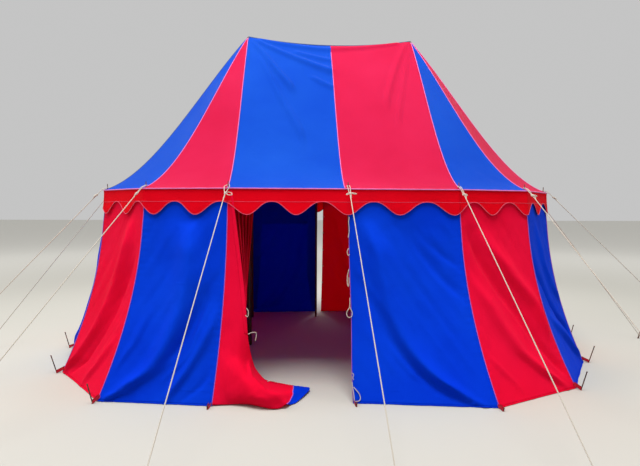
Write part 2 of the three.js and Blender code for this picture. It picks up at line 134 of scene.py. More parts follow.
def makeCanvas(name, colour, paleColour, darkColour, throughColour, sheen=0.02):
    material, tree = newFinish(name)
    place = addNode(tree, "TexCoord").outputs["Object"]
    cloth = addNode(tree, "UVMap", uv_map="cloth")
    split = addNode(tree, "SeparateXYZ", {0: cloth})
    fading = addNode(tree, "TexNoise", {
        "Vector": place, "Scale": 1000 / canvas["fadeMm"], "Detail": 3.0, "Roughness": 0.55,
    })
    fade = addNode(tree, "ValToRGB", {"Fac": fading})
    fade.color_ramp.elements.new(0.5)
    tones = (darkColour, colour, paleColour)
    for stop, at, tone in zip(fade.color_ramp.elements, canvas["fadeStops"], tones):
        stop.position = at
        stop.color = toLinear(tone)
    slub = addNode(tree, "TexNoise", {"Vector": cloth, "Scale": 1000 / canvas["slubMm"], "Detail": 2.0})
    slubTone = addNode(tree, "MapRange", {
        "Value": slub, "From Min": 0.25, "From Max": 0.75,
        "To Min": canvas["slubTones"][0], "To Max": canvas["slubTones"][1],
    })
    toned = addNode(tree, "VectorMath", {0: fade, 1: slubTone}, operation="MULTIPLY")

    halfTurns = 1000 / canvas["threadMm"] * math.pi
    waves = []
    for axis in ("X", "Y"):
        turned = addNode(tree, "Math", {0: split.outputs[axis], 1: halfTurns}, operation="MULTIPLY")
        waves.append(addNode(tree, "Math", {0: turned}, operation="SINE"))
    weave = addNode(tree, "Math", {0: waves[0], 1: waves[1]}, operation="MULTIPLY")

    wander = addNode(tree, "TexNoise", {"Vector": cloth, "Scale": 1000 / canvas["wanderMm"], "Detail": 2.0})
    creases = []
    for axis, gap in zip(("Y", "X"), canvas["creaseGap"]):
        moved = addNode(tree, "Math", {0: wander, 1: canvas["creaseWander"], 2: split.outputs[axis]},
                        operation="MULTIPLY_ADD")
        folded = addNode(tree, "Math", {0: moved, 1: gap}, operation="PINGPONG")
        creases.append(addNode(tree, "MapRange", {
            "Value": folded, "From Min": 0.0, "From Max": canvas["creaseWidth"], "To Min": 1.0, "To Max": 0.0,
        }, interpolation_type="SMOOTHSTEP"))
    bothCreases = addNode(tree, "Math", {0: creases[0], 1: creases[1]}, operation="MAXIMUM")
    patchy = addNode(tree, "TexNoise", {"Vector": cloth, "Scale": 1000 / canvas["patchMm"], "Detail": 1.0})
    patches = addNode(tree, "MapRange", {
        "Value": patchy, "From Min": canvas["patchEdge"][0], "From Max": canvas["patchEdge"][1],
    })
    creaseLines = addNode(tree, "Math", {0: bothCreases, 1: patches}, operation="MULTIPLY")

    pucker = addNode(tree, "TexNoise", {
        "Vector": place, "Scale": 1000 / canvas["puckerMm"], "Detail": 4.0, "Roughness": 0.5,
        "Distortion": 0.6,
    })
    softBump = addNode(tree, "Bump", {"Height": pucker, "Distance": canvas["puckerDepth"], "Strength": 0.8})
    creaseBump = addNode(tree, "Bump", {
        "Height": creaseLines, "Normal": softBump, "Distance": canvas["creaseDepth"], "Strength": 1.0,
    })
    weaveBump = addNode(tree, "Bump", {
        "Height": weave, "Normal": creaseBump, "Distance": canvas["weaveDepth"], "Strength": 1.0,
    })
    dyed = addNode(tree, "BsdfPrincipled", {
        "Base Color": toned,
        "Roughness": canvas["roughness"],
        "IOR": 1.4,
        "Specular IOR Level": 0.06,
        "Sheen Weight": sheen,
        "Sheen Roughness": 0.3,
        "Normal": weaveBump,
    })
    daylit = addNode(tree, "BsdfTranslucent", {"Color": toLinear(throughColour)})
    both = addNode(tree, "MixShader", {0: canvas["through"], 1: dyed, 2: daylit})
    addNode(tree, "OutputMaterial", {"Surface": both})
    return material


# Narrow woven tape and webbing: a denser weave than the canvas, so its ribs show as fine cross lines
tape = {"mottleMm": 16.7, "mottleTones": (0.88, 1.08), "ribDepth": 0.0004}


def makeTape(name, colour, ribMm):
    material, tree = newFinish(name)
    place = addNode(tree, "TexCoord").outputs["Object"]
    mottle = addNode(tree, "TexNoise", {"Vector": place, "Scale": 1000 / tape["mottleMm"], "Detail": 2.0})
    tone = addNode(tree, "MapRange", {
        "Value": mottle, "From Min": 0.3, "From Max": 0.7,
        "To Min": tape["mottleTones"][0], "To Max": tape["mottleTones"][1],
    })
    toned = addNode(tree, "VectorMath", {0: toLinear(colour)[:3], 1: tone}, operation="MULTIPLY")
    split = addNode(tree, "SeparateXYZ", {0: place})
    turns = addNode(tree, "Math", {0: split.outputs["Z"], 1: 2000 * math.pi / ribMm}, operation="MULTIPLY")
    ribs = addNode(tree, "Math", {0: turns}, operation="SINE")
    bump = addNode(tree, "Bump", {"Height": ribs, "Distance": tape["ribDepth"], "Strength": 0.7})
    woven = addNode(tree, "BsdfPrincipled", {
        "Base Color": toned, "Roughness": 0.8, "Specular IOR Level": 0.3, "Sheen Weight": 0.15,
        "Normal": bump,
    })
    addNode(tree, "OutputMaterial", {"Surface": woven})
    return material


# Three-strand cotton rope, laid: fluffy and matt, with painted shade that makes it greyer in the grooves
# between its strands
laidRope = {"strands": 3, "grooveShadeEdge": (-1.0, 0.2), "fibreMm": 2.38, "fibreDepth": 0.0006}


def makeRope(name, colour, grooveShadeColour):
    material, tree = newFinish(name)
    split = addNode(tree, "SeparateXYZ", {0: addNode(tree, "UVMap", uv_map="cloth")})
    turns = addNode(tree, "Math", {0: split, 1: 2 * math.pi * laidRope["strands"]}, operation="MULTIPLY")
    lobes = addNode(tree, "Math", {0: turns}, operation="COSINE")
    height = addNode(tree, "MapRange", {
        "Value": lobes, "From Min": laidRope["grooveShadeEdge"][0], "From Max": laidRope["grooveShadeEdge"][1],
    })
    # painted shade: the groove colour where the strands dip in
    colours = addNode(tree, "Mix", {
        0: height, 6: toLinear(grooveShadeColour), 7: toLinear(colour),
    }, data_type="RGBA")
    place = addNode(tree, "TexCoord").outputs["Object"]
    fibres = addNode(tree, "TexNoise", {"Vector": place, "Scale": 1000 / laidRope["fibreMm"], "Detail": 2.0})
    bump = addNode(tree, "Bump", {"Height": fibres, "Distance": laidRope["fibreDepth"], "Strength": 0.6})
    cotton = addNode(tree, "BsdfPrincipled", {
        "Base Color": colours.outputs[2], "Roughness": 0.9, "Specular IOR Level": 0.2, "Sheen Weight": 0.3,
        "Normal": bump,
    })
    addNode(tree, "OutputMaterial", {"Surface": cotton})
    return material


# Planed softwood, coloured dark as painted shade for poles in the tent's dim inside: long grain along the pole
# with darker late wood
softwood = {"grainMm": 11.1, "grainLengthMm": 400, "grainStops": (0.35, 0.62), "grainDepth": 0.0006}


def makeWood(name, earlyColour, lateColour):
    material, tree = newFinish(name)
    place = addNode(tree, "TexCoord").outputs["Object"]
    across, along = 1000 / softwood["grainMm"], 1000 / softwood["grainLengthMm"]
    stretched = addNode(tree, "Mapping", {"Vector": place, "Scale": (across, across, along)})
    grain = addNode(tree, "TexNoise", {
        "Vector": stretched, "Scale": 1.0, "Detail": 5.0, "Roughness": 0.6, "Distortion": 0.4,
    })
    tone = addNode(tree, "ValToRGB", {"Fac": grain})
    for stop, at, colour in zip(tone.color_ramp.elements, softwood["grainStops"], (lateColour, earlyColour)):
        stop.position = at
        stop.color = toLinear(colour)
    bump = addNode(tree, "Bump", {"Height": grain, "Distance": softwood["grainDepth"], "Strength": 0.5})
    planed = addNode(tree, "BsdfPrincipled", {
        "Base Color": tone, "Roughness": 0.55, "IOR": 1.5, "Normal": bump,
    })
    addNode(tree, "OutputMaterial", {"Surface": planed})
    return material


# Forged iron rod, left to rust: dark scale broken by brown oxide, which is rougher and no longer metal
ironRod = {"blotchMm": 22.2, "rustEdge": (0.42, 0.58), "rustDepth": 0.0008}


def makeIron(name, scaleColour, rustColour):
    material, tree = newFinish(name)
    place = addNode(tree, "TexCoord").outputs["Object"]
    blotch = addNode(tree, "TexNoise", {
        "Vector": place, "Scale": 1000 / ironRod["blotchMm"], "Detail": 6.0, "Roughness": 0.65,
    })
    rust = addNode(tree, "MapRange", {
        "Value": blotch, "From Min": ironRod["rustEdge"][0], "From Max": ironRod["rustEdge"][1],
    })
    colours = addNode(tree, "Mix", {
        0: rust, 6: toLinear(scaleColour), 7: toLinear(rustColour),
    }, data_type="RGBA")
    rough = addNode(tree, "MapRange", {"Value": rust, "To Min": 0.45, "To Max": 0.85})
    metal = addNode(tree, "MapRange", {"Value": rust, "To Min": 0.8, "To Max": 0.0})
    bump = addNode(tree, "Bump", {"Height": blotch, "Distance": ironRod["rustDepth"], "Strength": 0.8})
    forged = addNode(tree, "BsdfPrincipled", {
        "Base Color": colours.outputs[2], "Roughness": rough, "Metallic": metal, "Normal": bump,
    })
    addNode(tree, "OutputMaterial", {"Surface": forged})
    return material


finishes = {
    # The roof's reds and blues are paler and pinker than the walls': a painted sky reflection mixed into the
    # dyed colour
    "roofRed": makeCanvas("redRoofCanvasPaintedSkyReflection", "#c61f4d", "#cb2554", "#c01a46", "#ff0a12", 0.16),
    "roofBlue": makeCanvas("blueRoofCanvasPaintedSkyReflection", "#1250c2", "#1858c8", "#0c48bc", "#000ae6", 0.16),
    "wallRed": makeCanvas("redWallCanvas", "#fa0d3f", "#fe1346", "#f20836", "#e80910"),
    "wallBlue": makeCanvas("blueWallCanvas", "#0242ed", "#054af1", "#003ae5", "#0008ac"),
    "valanceRed": makeCanvas("redValanceCanvas", "#e9021e", "#ee0624", "#e20119", "#ff0a12"),
    "piping": makeTape("pinkRoofPiping", "#c8609c", 2.0),
    "wallPiping": makeTape("lilacWallPiping", "#9a4cb4", 2.0),
    "edging": makeTape("pinkValanceEdging", "#cc3a58", 2.0),
    "webbing": makeTape("redCottonWebbing", "#d01c34", 2.5),
    "rope": makeRope("whiteCottonRope", "#bdb5a8", "#867d6e"),
    # brown drawn dark as painted shade
    "wood": makeWood("darkSoftwoodPaintedShade", "#4a3020", "#301e12"),
    "iron": makeIron("rustedIronRod", "#3b322d", "#6a3d28"),
    # slate: the ridge tape, and also painted shade on the piping of seams 5 and 13
    "ridgeTapeAndSeamShade": makeTape("slateRidgeTapeAndSeamShade", "#4c5672", 2.5),
}
print("finishes made")

# The tent's plan and curves, as in its solids
tent = {
    "peakHeight": 3.6,
    "halfSpan": 0.95,  # centre pole from the middle
    "ridgeSag": 0.075,
    "panelsPerEnd": 6,
    "eaveHalfStraight": 1.015,
    "eaveRadius": 1.495,
    "eaveHeight": 1.8,
    "hemHalfStraight": 1.14,
    "hemRadius": 1.83,
    "hemHeight": 0.006,
    "roofDip": 0.183,
    "roofDipSkew": 1.77,
    "wallTopDrop": 0.016,
    "wallInset": 0.006,
    "wallTuck": 0.006,  # further in behind the valance
    "tuckEnd": (0.10, 0.18),  # where it comes out again, as shares of the wall's height
    "flarePower": 2.0,
    "clothThick": 0.0025,
}
# Corners and pegs that stand a little off the regular oval, by corner
eaveShift = {
    1: (0.020, -0.008), 3: (-0.040, 0.024), 8: (-0.065, 0.0), 13: (-0.020, -0.006), 14: (-0.027, -0.008),
    15: (-0.010, 0.0),
}
hemShift = {
    0: (0.041, 0.030), 1: (0.081, -0.139), 2: (0.057, 0.0), 3: (-0.076, 0.058), 8: (-0.065, 0.0),
    13: (0.005, 0.065), 14: (-0.044, -0.036), 15: (0.013, 0.047),
}
cornerCount = 2 * tent["panelsPerEnd"] + 4
halfCount = cornerCount // 2
endStep = math.pi / tent["panelsPerEnd"]


def headingOf(corner):
    corner %= cornerCount
    k = corner % halfCount
    angles = {0: 0.0, 1: endStep / 4, halfCount - 1: math.pi - endStep / 4}
    return angles.get(k, (k - 1) * endStep) + (math.pi if corner >= halfCount else 0)


def outwardOf(corner):
    angle = headingOf(corner)
    return np.array([math.sin(angle), -math.cos(angle)])


def slideOf(corner):
    out = outwardOf(corner)
    return np.array([-out[1], out[0]])  # along the eave, towards higher corners


def mitreOf(corner):
    k = corner % halfCount
    if k == 0:
        return 1.0
    return 1 / math.cos(endStep / 4 if k in (1, halfCount - 1) else endStep / 2)


def cornerPlan(corner, halfStraight, radius, shifts, inset=0.0):
    corner %= cornerCount
    k = corner % halfCount
    angle = (k - 1) * endStep
    side = -1 if corner >= halfCount else 1
    plan = np.array([halfStraight + radius * math.sin(angle), -radius * math.cos(angle)])
    if k == 0:
        plan = np.array([0.0, -radius])
    plan = plan * side + np.array(shifts.get(corner, (0.0, 0.0)))
    return plan - outwardOf(corner) * inset * mitreOf(corner)


def eavePlan(corner, inset=0.0):
    return cornerPlan(corner, tent["eaveHalfStraight"], tent["eaveRadius"], eaveShift, inset)


def hemPlan(corner, inset=0.0):
    return cornerPlan(corner, tent["hemHalfStraight"], tent["hemRadius"], hemShift, inset)


def alongBays(position, first, last, valueAt):
    values = np.array([valueAt(corner) for corner in range(first, last + 1)])
    bay = np.clip(np.floor(position - first).astype(int), 0, last - first - 1)
    part = (position - first - bay)[:, None]
    return values[bay] * (1 - part) + values[bay + 1] * part


def ridgeAcross(corner):
    k = corner % cornerCount
    if k in (0, halfCount):
        return np.array([0.0])
    return np.array([tent["halfSpan"] if k < halfCount else -tent["halfSpan"]])


def roofPoints(position, first, last, t):
    ridgeX = alongBays(position, first, last, ridgeAcross)[:, 0]
    ridgeZ = tent["peakHeight"] - tent["ridgeSag"] * (1 - (ridgeX / tent["halfSpan"]) ** 2)
    edge = alongBays(position, first, last, eavePlan)
    skewed = t ** tent["roofDipSkew"]
    dip = 4 * tent["roofDip"] * skewed * (1 - skewed)
    return np.stack([
        ridgeX + (edge[:, 0] - ridgeX) * t,
        edge[:, 1] * t,
        ridgeZ + (tent["eaveHeight"] - ridgeZ) * t - dip,
    ], axis=1)


def smoothStep(value, low, high):
    t = ((value - low) / (high - low)).clip(0, 1)
    return t * t * (3 - 2 * t)


wallTop = tent["eaveHeight"] - tent["wallTopDrop"]


def wallPoints(position, first, last, v):
    inset = tent["wallInset"]
    top = alongBays(position, first, last, lambda corner: eavePlan(corner, inset))
    tucked = alongBays(position, first, last, lambda corner: eavePlan(corner, inset + tent["wallTuck"]))
    top = tucked + (top - tucked) * smoothStep(v, *tent["tuckEnd"])[:, None]
    foot = alongBays(position, first, last, hemPlan)
    sweep = (v ** tent["flarePower"])[:, None]
    plan = top * (1 - sweep) + foot * sweep
    return np.column_stack([plan, wallTop + (tent["hemHeight"] - wallTop) * v])


# Mesh tools
def gridMesh(columns, rows, place, width, height):
    mesh = bmesh.new()
    bmesh.ops.create_grid(mesh, x_segments=columns, y_segments=rows, size=0.5)
    cloth = mesh.loops.layers.uv.new("cloth")
    for face in mesh.faces:
        face.smooth = True
        for loop in face.loops:
            loop[cloth].uv = ((loop.vert.co.x + 0.5) * width, (0.5 - loop.vert.co.y) * height)
    across = np.array([vert.co.x for vert in mesh.verts]) + 0.5
    down = 0.5 - np.array([vert.co.y for vert in mesh.verts])
    for vert, point in zip(mesh.verts, place(across.clip(0, 1), down.clip(0, 1))):
        vert.co = point
    return mesh


def surfaceNormals(place, u, v, step=2e-4):
    sideways = place((u + step).clip(0, 1), v) - place((u - step).clip(0, 1), v)
    upwards = place(u, (v - step).clip(0, 1)) - place(u, (v + step).clip(0, 1))
    normals = np.cross(sideways, upwards)
    return normals / np.maximum(np.linalg.norm(normals, axis=1, keepdims=True), 1e-12)


# Waves in chance directions, each octave half as long and nearly half as high as the one before
def softNoise(x, y, seed, octaves=3, waves=5):
    chance = np.random.default_rng(seed)
    total = np.zeros_like(x)
    for octave in range(octaves):
        for _ in range(waves):
            angle, start = chance.uniform(0, 2 * math.pi, 2)
            rate = 2 ** octave * chance.uniform(0.75, 1.3)
            run = x * math.cos(angle) + y * math.sin(angle)
            total += np.sin(2 * math.pi * rate * run + start) / (waves * 1.9 ** octave)
    return total


# A smooth curve from the second of four points to the third
def curveBetween(p0, p1, p2, p3, t):
    return 0.5 * (2 * p1 + (p2 - p0) * t + (2 * p0 - 5 * p1 + 4 * p2 - p3) * t ** 2
                  + (3 * p1 - p0 - 3 * p2 + p3) * t ** 3)


# A smooth line through points, at places counted in points from the first
def throughPoints(points, places):
    points = np.asarray(points, float)
    last = len(points) - 1
    at = np.clip(places, 0, last)
    start = np.minimum(np.floor(at).astype(int), last - 1)
    return curveBetween(points[np.maximum(start - 1, 0)], points[start], points[start + 1],
                        points[np.minimum(start + 2, last)], (at - start)[:, None])


def runAlong(line):
    return np.concatenate([[0], np.cumsum(np.linalg.norm(np.diff(line, axis=0), axis=1))])


def evenPath(points, spacing, smooth=True, stepsEach=24):
    points = np.asarray(points, float)
    fine = np.linspace(0, len(points) - 1, stepsEach * (len(points) - 1) + 1)
    line = throughPoints(points, fine) if smooth else np.stack(
        [np.interp(fine, range(len(points)), points[:, axis]) for axis in range(3)], axis=1)
    run = runAlong(line)
    at = np.linspace(0, run[-1], max(2, round(run[-1] / spacing) + 1))
    return np.stack([np.interp(at, run, line[:, axis]) for axis in range(3)], axis=1)


def sideOf(direction, otherwise):
    upright = abs(direction[2]) >= 0.9
    return np.cross(direction, otherwise if upright else (0.0, 0.0, 1.0))


# Side and up directions that turn with a path and never twist about it
def carriedFrames(path):
    tangents = np.gradient(path, axis=0)
    tangents /= np.linalg.norm(tangents, axis=1, keepdims=True)
    side = sideOf(tangents[0], (0.0, 1.0, 0.0))
    sides = []
    for tangent in tangents:
        side = side - tangent * side.dot(tangent)
        side /= np.linalg.norm(side)
        sides.append(side)
    sides = np.array(sides)
    return sides, np.cross(tangents, sides)


# A closed tube. Its section may have three lobes, as laid strands do, which turn once in each pitch
def tubeMesh(path, radius, sides, lobeDepth=0.0, lobePitch=1.0):
    path = np.asarray(path, float)
    sideways, upwards = carriedFrames(path)
    rings = len(path) - 1
    run = runAlong(path)

    def place(u, v):
        ring = np.rint(v * rings).astype(int)
        angle = 2 * math.pi * u
        twisted = angle - 2 * math.pi * run[ring] / lobePitch
        size = radius * (1 + lobeDepth * np.cos(3 * angle))
        return path[ring] + (np.cos(twisted) * size)[:, None] * sideways[ring] \
            + (np.sin(twisted) * size)[:, None] * upwards[ring]

    mesh = gridMesh(sides, rings, place, 1.0, run[-1])
    bmesh.ops.remove_doubles(mesh, verts=mesh.verts, dist=1e-6)
    ends = [edge for edge in mesh.edges if edge.is_boundary]
    if ends:
        bmesh.ops.holes_fill(mesh, edges=ends, sides=sides)
    bmesh.ops.recalc_face_normals(mesh, faces=mesh.faces)
    return mesh


def emptyMesh():
    mesh = bmesh.new()
    mesh.loops.layers.uv.new("cloth")
    return mesh


def addTo(whole, part, finish=0):
    for face in part.faces:
        face.material_index = finish
    data = bpy.data.meshes.new("part")
    part.to_mesh(data)
    part.free()
    whole.from_mesh(data)
    bpy.data.meshes.remove(data)


sharpCorner = math.radians(40)


# A turned shape from (height, radius) steps up an axis. Its sides are smooth, its ends and corners sharp
def turnedMesh(steps, sides):
    mesh = emptyMesh()
    rings = []
    for height, radius in steps:
        made = bmesh.ops.create_circle(mesh, cap_ends=False, radius=radius, segments=sides)
        bmesh.ops.translate(mesh, verts=made["verts"], vec=(0, 0, height))
        ring = set(made["verts"])
        rings.append([edge for edge in mesh.edges if edge.verts[0] in ring and edge.verts[1] in ring])
    for lower, upper in zip(rings, rings[1:]):
        bmesh.ops.bridge_loops(mesh, edges=lower + upper)
    bmesh.ops.holes_fill(mesh, edges=[edge for edge in mesh.edges if edge.is_boundary], sides=sides)
    bmesh.ops.recalc_face_normals(mesh, faces=mesh.faces)
    for face in mesh.faces:
        face.smooth = len(face.verts) == 4
    for edge in mesh.edges:
        edge.smooth = edge.calc_face_angle(0) < sharpCorner
    return mesh


# guyRope3 stands for the node guy_rope_3
def nodeOf(name):
    return re.sub("([A-Z]|[0-9]+)", r"_\1", name).lower()


# A piece stands for the node of its name, unless it is trim that no node shows
def finishPiece(name, mesh, materials, trim=False, thickness=0.0):
    data = bpy.data.meshes.new(name)
    mesh.to_mesh(data)
    mesh.free()
    for material in materials:
        data.materials.append(finishes[material])
    piece = addObject(name, data)
    if thickness:
        thicken = piece.modifiers.new("clothThickness", "SOLIDIFY")
        thicken.thickness = thickness
        thicken.offset = -1
    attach(piece, "root")
    if not trim:
        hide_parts(nodeOf(name))
    return piece


def planLength(corner, planOf):
    return float(np.linalg.norm(planOf(corner + 1) - planOf(corner)))


# The length round several bays
def bayRun(first, last, planOf):
    return sum(planLength(corner, planOf) for corner in range(first, last))


def clothCentre(face, cloth):
    return sum((loop[cloth].uv for loop in face.loops), Vector((0, 0))) / len(face.loops)


# Red and blue by turns, one to a bay
def colourBays(mesh, first, last, width):
    cloth = mesh.loops.layers.uv["cloth"]
    for face in mesh.faces:
        across = clothCentre(face, cloth).x / width
        face.material_index = (first + min(int(across * (last - first)), last - first - 1)) % 2
    for edge in mesh.edges:
        if len({face.material_index for face in edge.link_faces}) == 2:
            edge.smooth = False


# Roof
roofCloth = {
    "columns": 44,  # on each bay of the long sides
    "rows": 150,
    "endColumns": 26,
    "endRows": 84,
    "slope": 2.36,
    "belly": 0.012,  # how far a panel of the width below sinks between its seams
    "bellyWidth": 0.9,
    "bellyPower": 0.8,
    "softDepth": 0.0045,
    "softSize": 0.55,
    "softStretch": 1.7,  # down the slope
    "softWidth": 0.5,  # narrower cloth is drawn flatter
    "softSeed": 40,
    "seamPucker": 0.0016,
    "puckerLength": 0.055,
    "puckerReach": 0.09,
    "puckerStart": (0.03, 0.15),
    "foldRoot": 0.45,  # size of a ridge fold at the peak, as a share of its size at 1 m
    "foldFades": (0.08, 0.03),
}
# Tension wrinkles under the free ridge, each fanning from a peak: metres down the slope at 1 m from it, bend,
# half width down the slope and depth at 1 m, first and last metre from the peak
ridgeFolds = {
    15: [(0.10, 1.00, 0.040, 0.026, 0.08, 0.97), (0.31, 1.00, 0.035, 0.024, 0.50, 0.95),
         (0.50, 1.00, 0.050, 0.042, 0.04, 0.95), (0.75, 0.90, 0.035, 0.026, 0.68, 0.96),
         (1.46, 1.03, 0.080, 0.058, 0.03, 0.52), (2.25, 1.03, 0.100, 0.040, 0.12, 0.62)],
    0: [(0.08, 1.00, 0.040, 0.028, 0.10, 0.97), (3.15, 1.44, 0.140, 0.040, 0.03, 0.42),
        (3.95, 1.13, 0.130, 0.026, 0.03, 0.34)],
    7: [(0.12, 1.00, 0.040, 0.026, 0.08, 0.97), (0.40, 1.00, 0.045, 0.034, 0.10, 0.95),
        (1.30, 1.05, 0.070, 0.030, 0.04, 0.55)],
    8: [(0.09, 1.00, 0.040, 0.026, 0.08, 0.97), (0.36, 0.95, 0.040, 0.026, 0.40, 0.95),
        (2.60, 1.30, 0.120, 0.030, 0.04, 0.40)],
}
# The sewing thread draws the cloth in beside each seam, unevenly along it
puckers = {"wander": 1.6, "wanderRate": 5.3, "uneven": 0.45, "unevenRate": 3.7, "seamClear": 0.012}
seamMargin = 0.10  # share of a bay beside each seam where the seam holds the cloth flat


def awayFromSeams(part):
    return smoothStep(part, 0.0, seamMargin) * smoothStep(1 - part, 0.0, seamMargin)


def seamPuckers(part, width, run, look, seed):
    total = np.zeros_like(part)
    for edge, away in enumerate((part * width, (1 - part) * width)):
        chance = np.random.default_rng(seed * 2 + edge)
        start, wander = chance.uniform(0, 2 * math.pi, 2)
        phase = 2 * math.pi * run / look["puckerLength"] + start
        phase += puckers["wander"] * np.sin(run * puckers["wanderRate"] + wander)
        waver = np.sin(run * puckers["unevenRate"] + wander * 2)
        strength = 1 - puckers["uneven"] + puckers["uneven"] * waver
        near = np.exp(-away / (look["puckerReach"] / 3)) * smoothStep(away, 0.0, puckers["seamClear"])
        total += strength * np.sin(phase) * near
    return look["seamPucker"] * total


# Depth of the ridge folds, by the distance along the ridge from the peak and down the slope
def fanFolds(bay, along, fall):
    look = roofCloth
    size = look["foldRoot"] + (1 - look["foldRoot"]) * along
    start, end = look["foldFades"]
    total = np.zeros_like(along)
    for reach, bend, halfWidth, depth, first, last in ridgeFolds.get(bay, []):
        away = (fall - reach * along ** bend) / (halfWidth * size)
        shown = smoothStep(along, first, first + start) * (1 - smoothStep(along, last - end, last + end))
        total += depth * size * np.exp(-away ** 2) * shown
    return total


def roofRelief(position, t):
    look = roofCloth
    relief = np.zeros_like(position)
    for bay in range(cornerCount):
        inBay = np.floor(position % cornerCount).astype(int) == bay
        if not inBay.any():
            continue
        part, down = (position[inBay] % cornerCount) - bay, t[inBay]
        inHalf = bay % halfCount
        width = planLength(bay, eavePlan) * (1.0 if inHalf in (0, halfCount - 1) else down)
        fall = down * look["slope"]
        soft = softNoise(part * width / look["softSize"], fall / (look["softStretch"] * look["softSize"]),
                         look["softSeed"] + bay)
        soft *= awayFromSeams(part) * np.sin(math.pi * down) ** 0.5 * np.minimum(1, width / look["softWidth"])
        share = width / look["bellyWidth"]
        sunk = 4 * part * (1 - part) * share * np.sin(math.pi * down ** look["bellyPower"])
        along = tent["halfSpan"] * (part if inHalf == halfCount - 1 else 1 - part)
        relief[inBay] = look["softDepth"] * soft - look["belly"] * sunk + fanFolds(bay, along, fall) \
            + seamPuckers(part, width, fall, look, bay) * smoothStep(down, *look["puckerStart"])
    return relief


def makeRoof(name, first, last, slotName):
    straight = last % halfCount == 1
    columns = roofCloth["columns"] if straight else roofCloth["endColumns"]
    rows = roofCloth["rows"] if straight else roofCloth["endRows"]
    bays = last - first
    edgeRun, slope = bayRun(first, last, eavePlan), roofCloth["slope"]

    def bare(u, v):
        return roofPoints(first + u * bays, first, last, v)

    def place(u, v):
        return bare(u, v) + surfaceNormals(bare, u, v) * roofRelief(first + u * bays, v)[:, None]

    mesh = gridMesh(columns * bays, rows, place, edgeRun, slope)
    colourBays(mesh, first, last, edgeRun)
    if not straight:
        bmesh.ops.remove_doubles(mesh, verts=mesh.verts, dist=1e-5)
    roof = finishPiece(name, mesh, ["roofRed", "roofBlue"], thickness=tent["clothThick"])


roofRuns = [
    ("roofFront", -1, 1, "roof_blue"),
    ("roofRightFront", 1, 3, "roof_blue"),
    ("roofRightSide", 3, 5, "roof_blue"),
    ("roofRightBack", 5, 7, "roof_blue"),
    ("roofBack", 7, 9, "roof_red"),
    ("roofLeftBack", 9, 11, "roof_blue"),
    ("roofLeftSide", 11, 13, "roof_blue"),
    ("roofLeftFront", 13, 15, "roof_blue"),
]
for run in roofRuns:
    makeRoof(*run)
print("roof cloth made")

# Seam piping: a fine cord in each seam, slate tape along the ridge and one cord round the eave. The thinner
# cords on seams 5 and 13 are coloured slate instead of pink, as painted shade
piping = {
    "roofRadius": 0.0042,
    "roofRun": (0.012, 0.995),
    "roofPoints": 60,
    "ridgeRadius": 0.0060,
    "ridgePoints": 21,
    "ridgeRise": 0.001,
    # seams whose piping is coloured slate as painted shade
    "shadedSeams": (5, 13),
    "shadedSeamRadius": 0.0032,
    "eaveRadius": 0.0055,
    "eaveDrop": 0.003,
    "standProud": 0.002,
    "wallRadius": 0.0034,
    "wallStart": 0.06,
    "wallPoints": 50,
    "doorRadius": 0.0028,
    "sides": 6,
    "spacing": 0.03,
}


def makeRoofPiping():
    sides = piping["sides"]
    roofSeams = emptyMesh()
    down = np.linspace(*piping["roofRun"], piping["roofPoints"])
    for corner in range(cornerCount):
        bare = corner in piping["shadedSeams"]
        line = roofPoints(np.full_like(down, corner), corner, corner + 1, down)
        addTo(roofSeams, tubeMesh(line, piping["shadedSeamRadius" if bare else "roofRadius"], sides), int(bare))
    for first in (-1, 0):
        ridge = np.linspace(first, first + 1, piping["ridgePoints"])
        line = roofPoints(ridge, first, first + 1, np.zeros_like(ridge)) + (0, 0, piping["ridgeRise"])
        addTo(roofSeams, tubeMesh(line, piping["ridgeRadius"], sides), 1)
    finishPiece("roofSeamPiping", roofSeams, ["piping", "ridgeTapeAndSeamShade"], trim=True)


def makeEavePiping():
    height = tent["eaveHeight"] - piping["eaveDrop"]
    corners = np.array([(*eavePlan(corner, -piping["standProud"]), height)
                        for corner in range(cornerCount + 1)])
    cord = emptyMesh()
    line = evenPath(corners, piping["spacing"], smooth=False)
    addTo(cord, tubeMesh(line, piping["eaveRadius"], piping["sides"]))
    finishPiece("eavePiping", cord, ["piping"], trim=True)


makeRoofPiping()
makeEavePiping()
print("seam piping made")

# Valance: one wave runs round the whole eave, under a narrow band that tucks in below the piping
valance = {
    "drop": 0.230,
    "archRise": 0.115,
    "lean": 0.014,
    "leanPower": 1.3,
    "tuck": 0.003,
    "tuckDepth": 0.045,
    "topDrop": 0.008,
    # metres along the eave from corner 15
    "tips": (-0.679, -0.293, 0.171, 0.594, 1.050, 1.512, 2.005, 2.403, 2.795),
    "evenWaves": 8,  # from the last of these to half way round
    "wavePower": 1.25,
    "waveShare": 0.55,  # of the strip that the arches take up, cut away
    "columnsPerWave": 22,
    "rows": 16,
    "curl": 0.004,
    "curlRates": (2.6, 3.0),  # waves in a metre, along and down
    "curlSeed": 91,
    "edgingRadius": 0.0034,
    "stitchRadius": 0.0015,
    "stitchDrop": 0.114,
    "trimSides": 6,
}
runCorners = np.arange(-1, cornerCount)
eaveLengths = [planLength(corner, eavePlan) for corner in range(-1, cornerCount - 1)]
eaveRuns = np.concatenate([[0], np.cumsum(eaveLengths)])


def placeWaveTips():
    half = eaveRuns[-1] / 2
    firstEven = valance["tips"][-1]
    evenWave = (half + valance["tips"][0] - firstEven) / valance["evenWaves"]
    halfTips = [*valance["tips"], *(firstEven + wave * evenWave for wave in range(1, valance["evenWaves"]))]
    allTips = [*halfTips, *(run + half for run in halfTips)]
    return np.array([*allTips, *(run + 2 * half for run in allTips[:3])])


waveTips = placeWaveTips()


def wavesTo(run):
    return np.interp(run, waveTips, range(len(waveTips)))


def valanceWave(run):
    return (0.5 + 0.5 * np.cos(2 * math.pi * wavesTo(run))) ** valance["wavePower"]


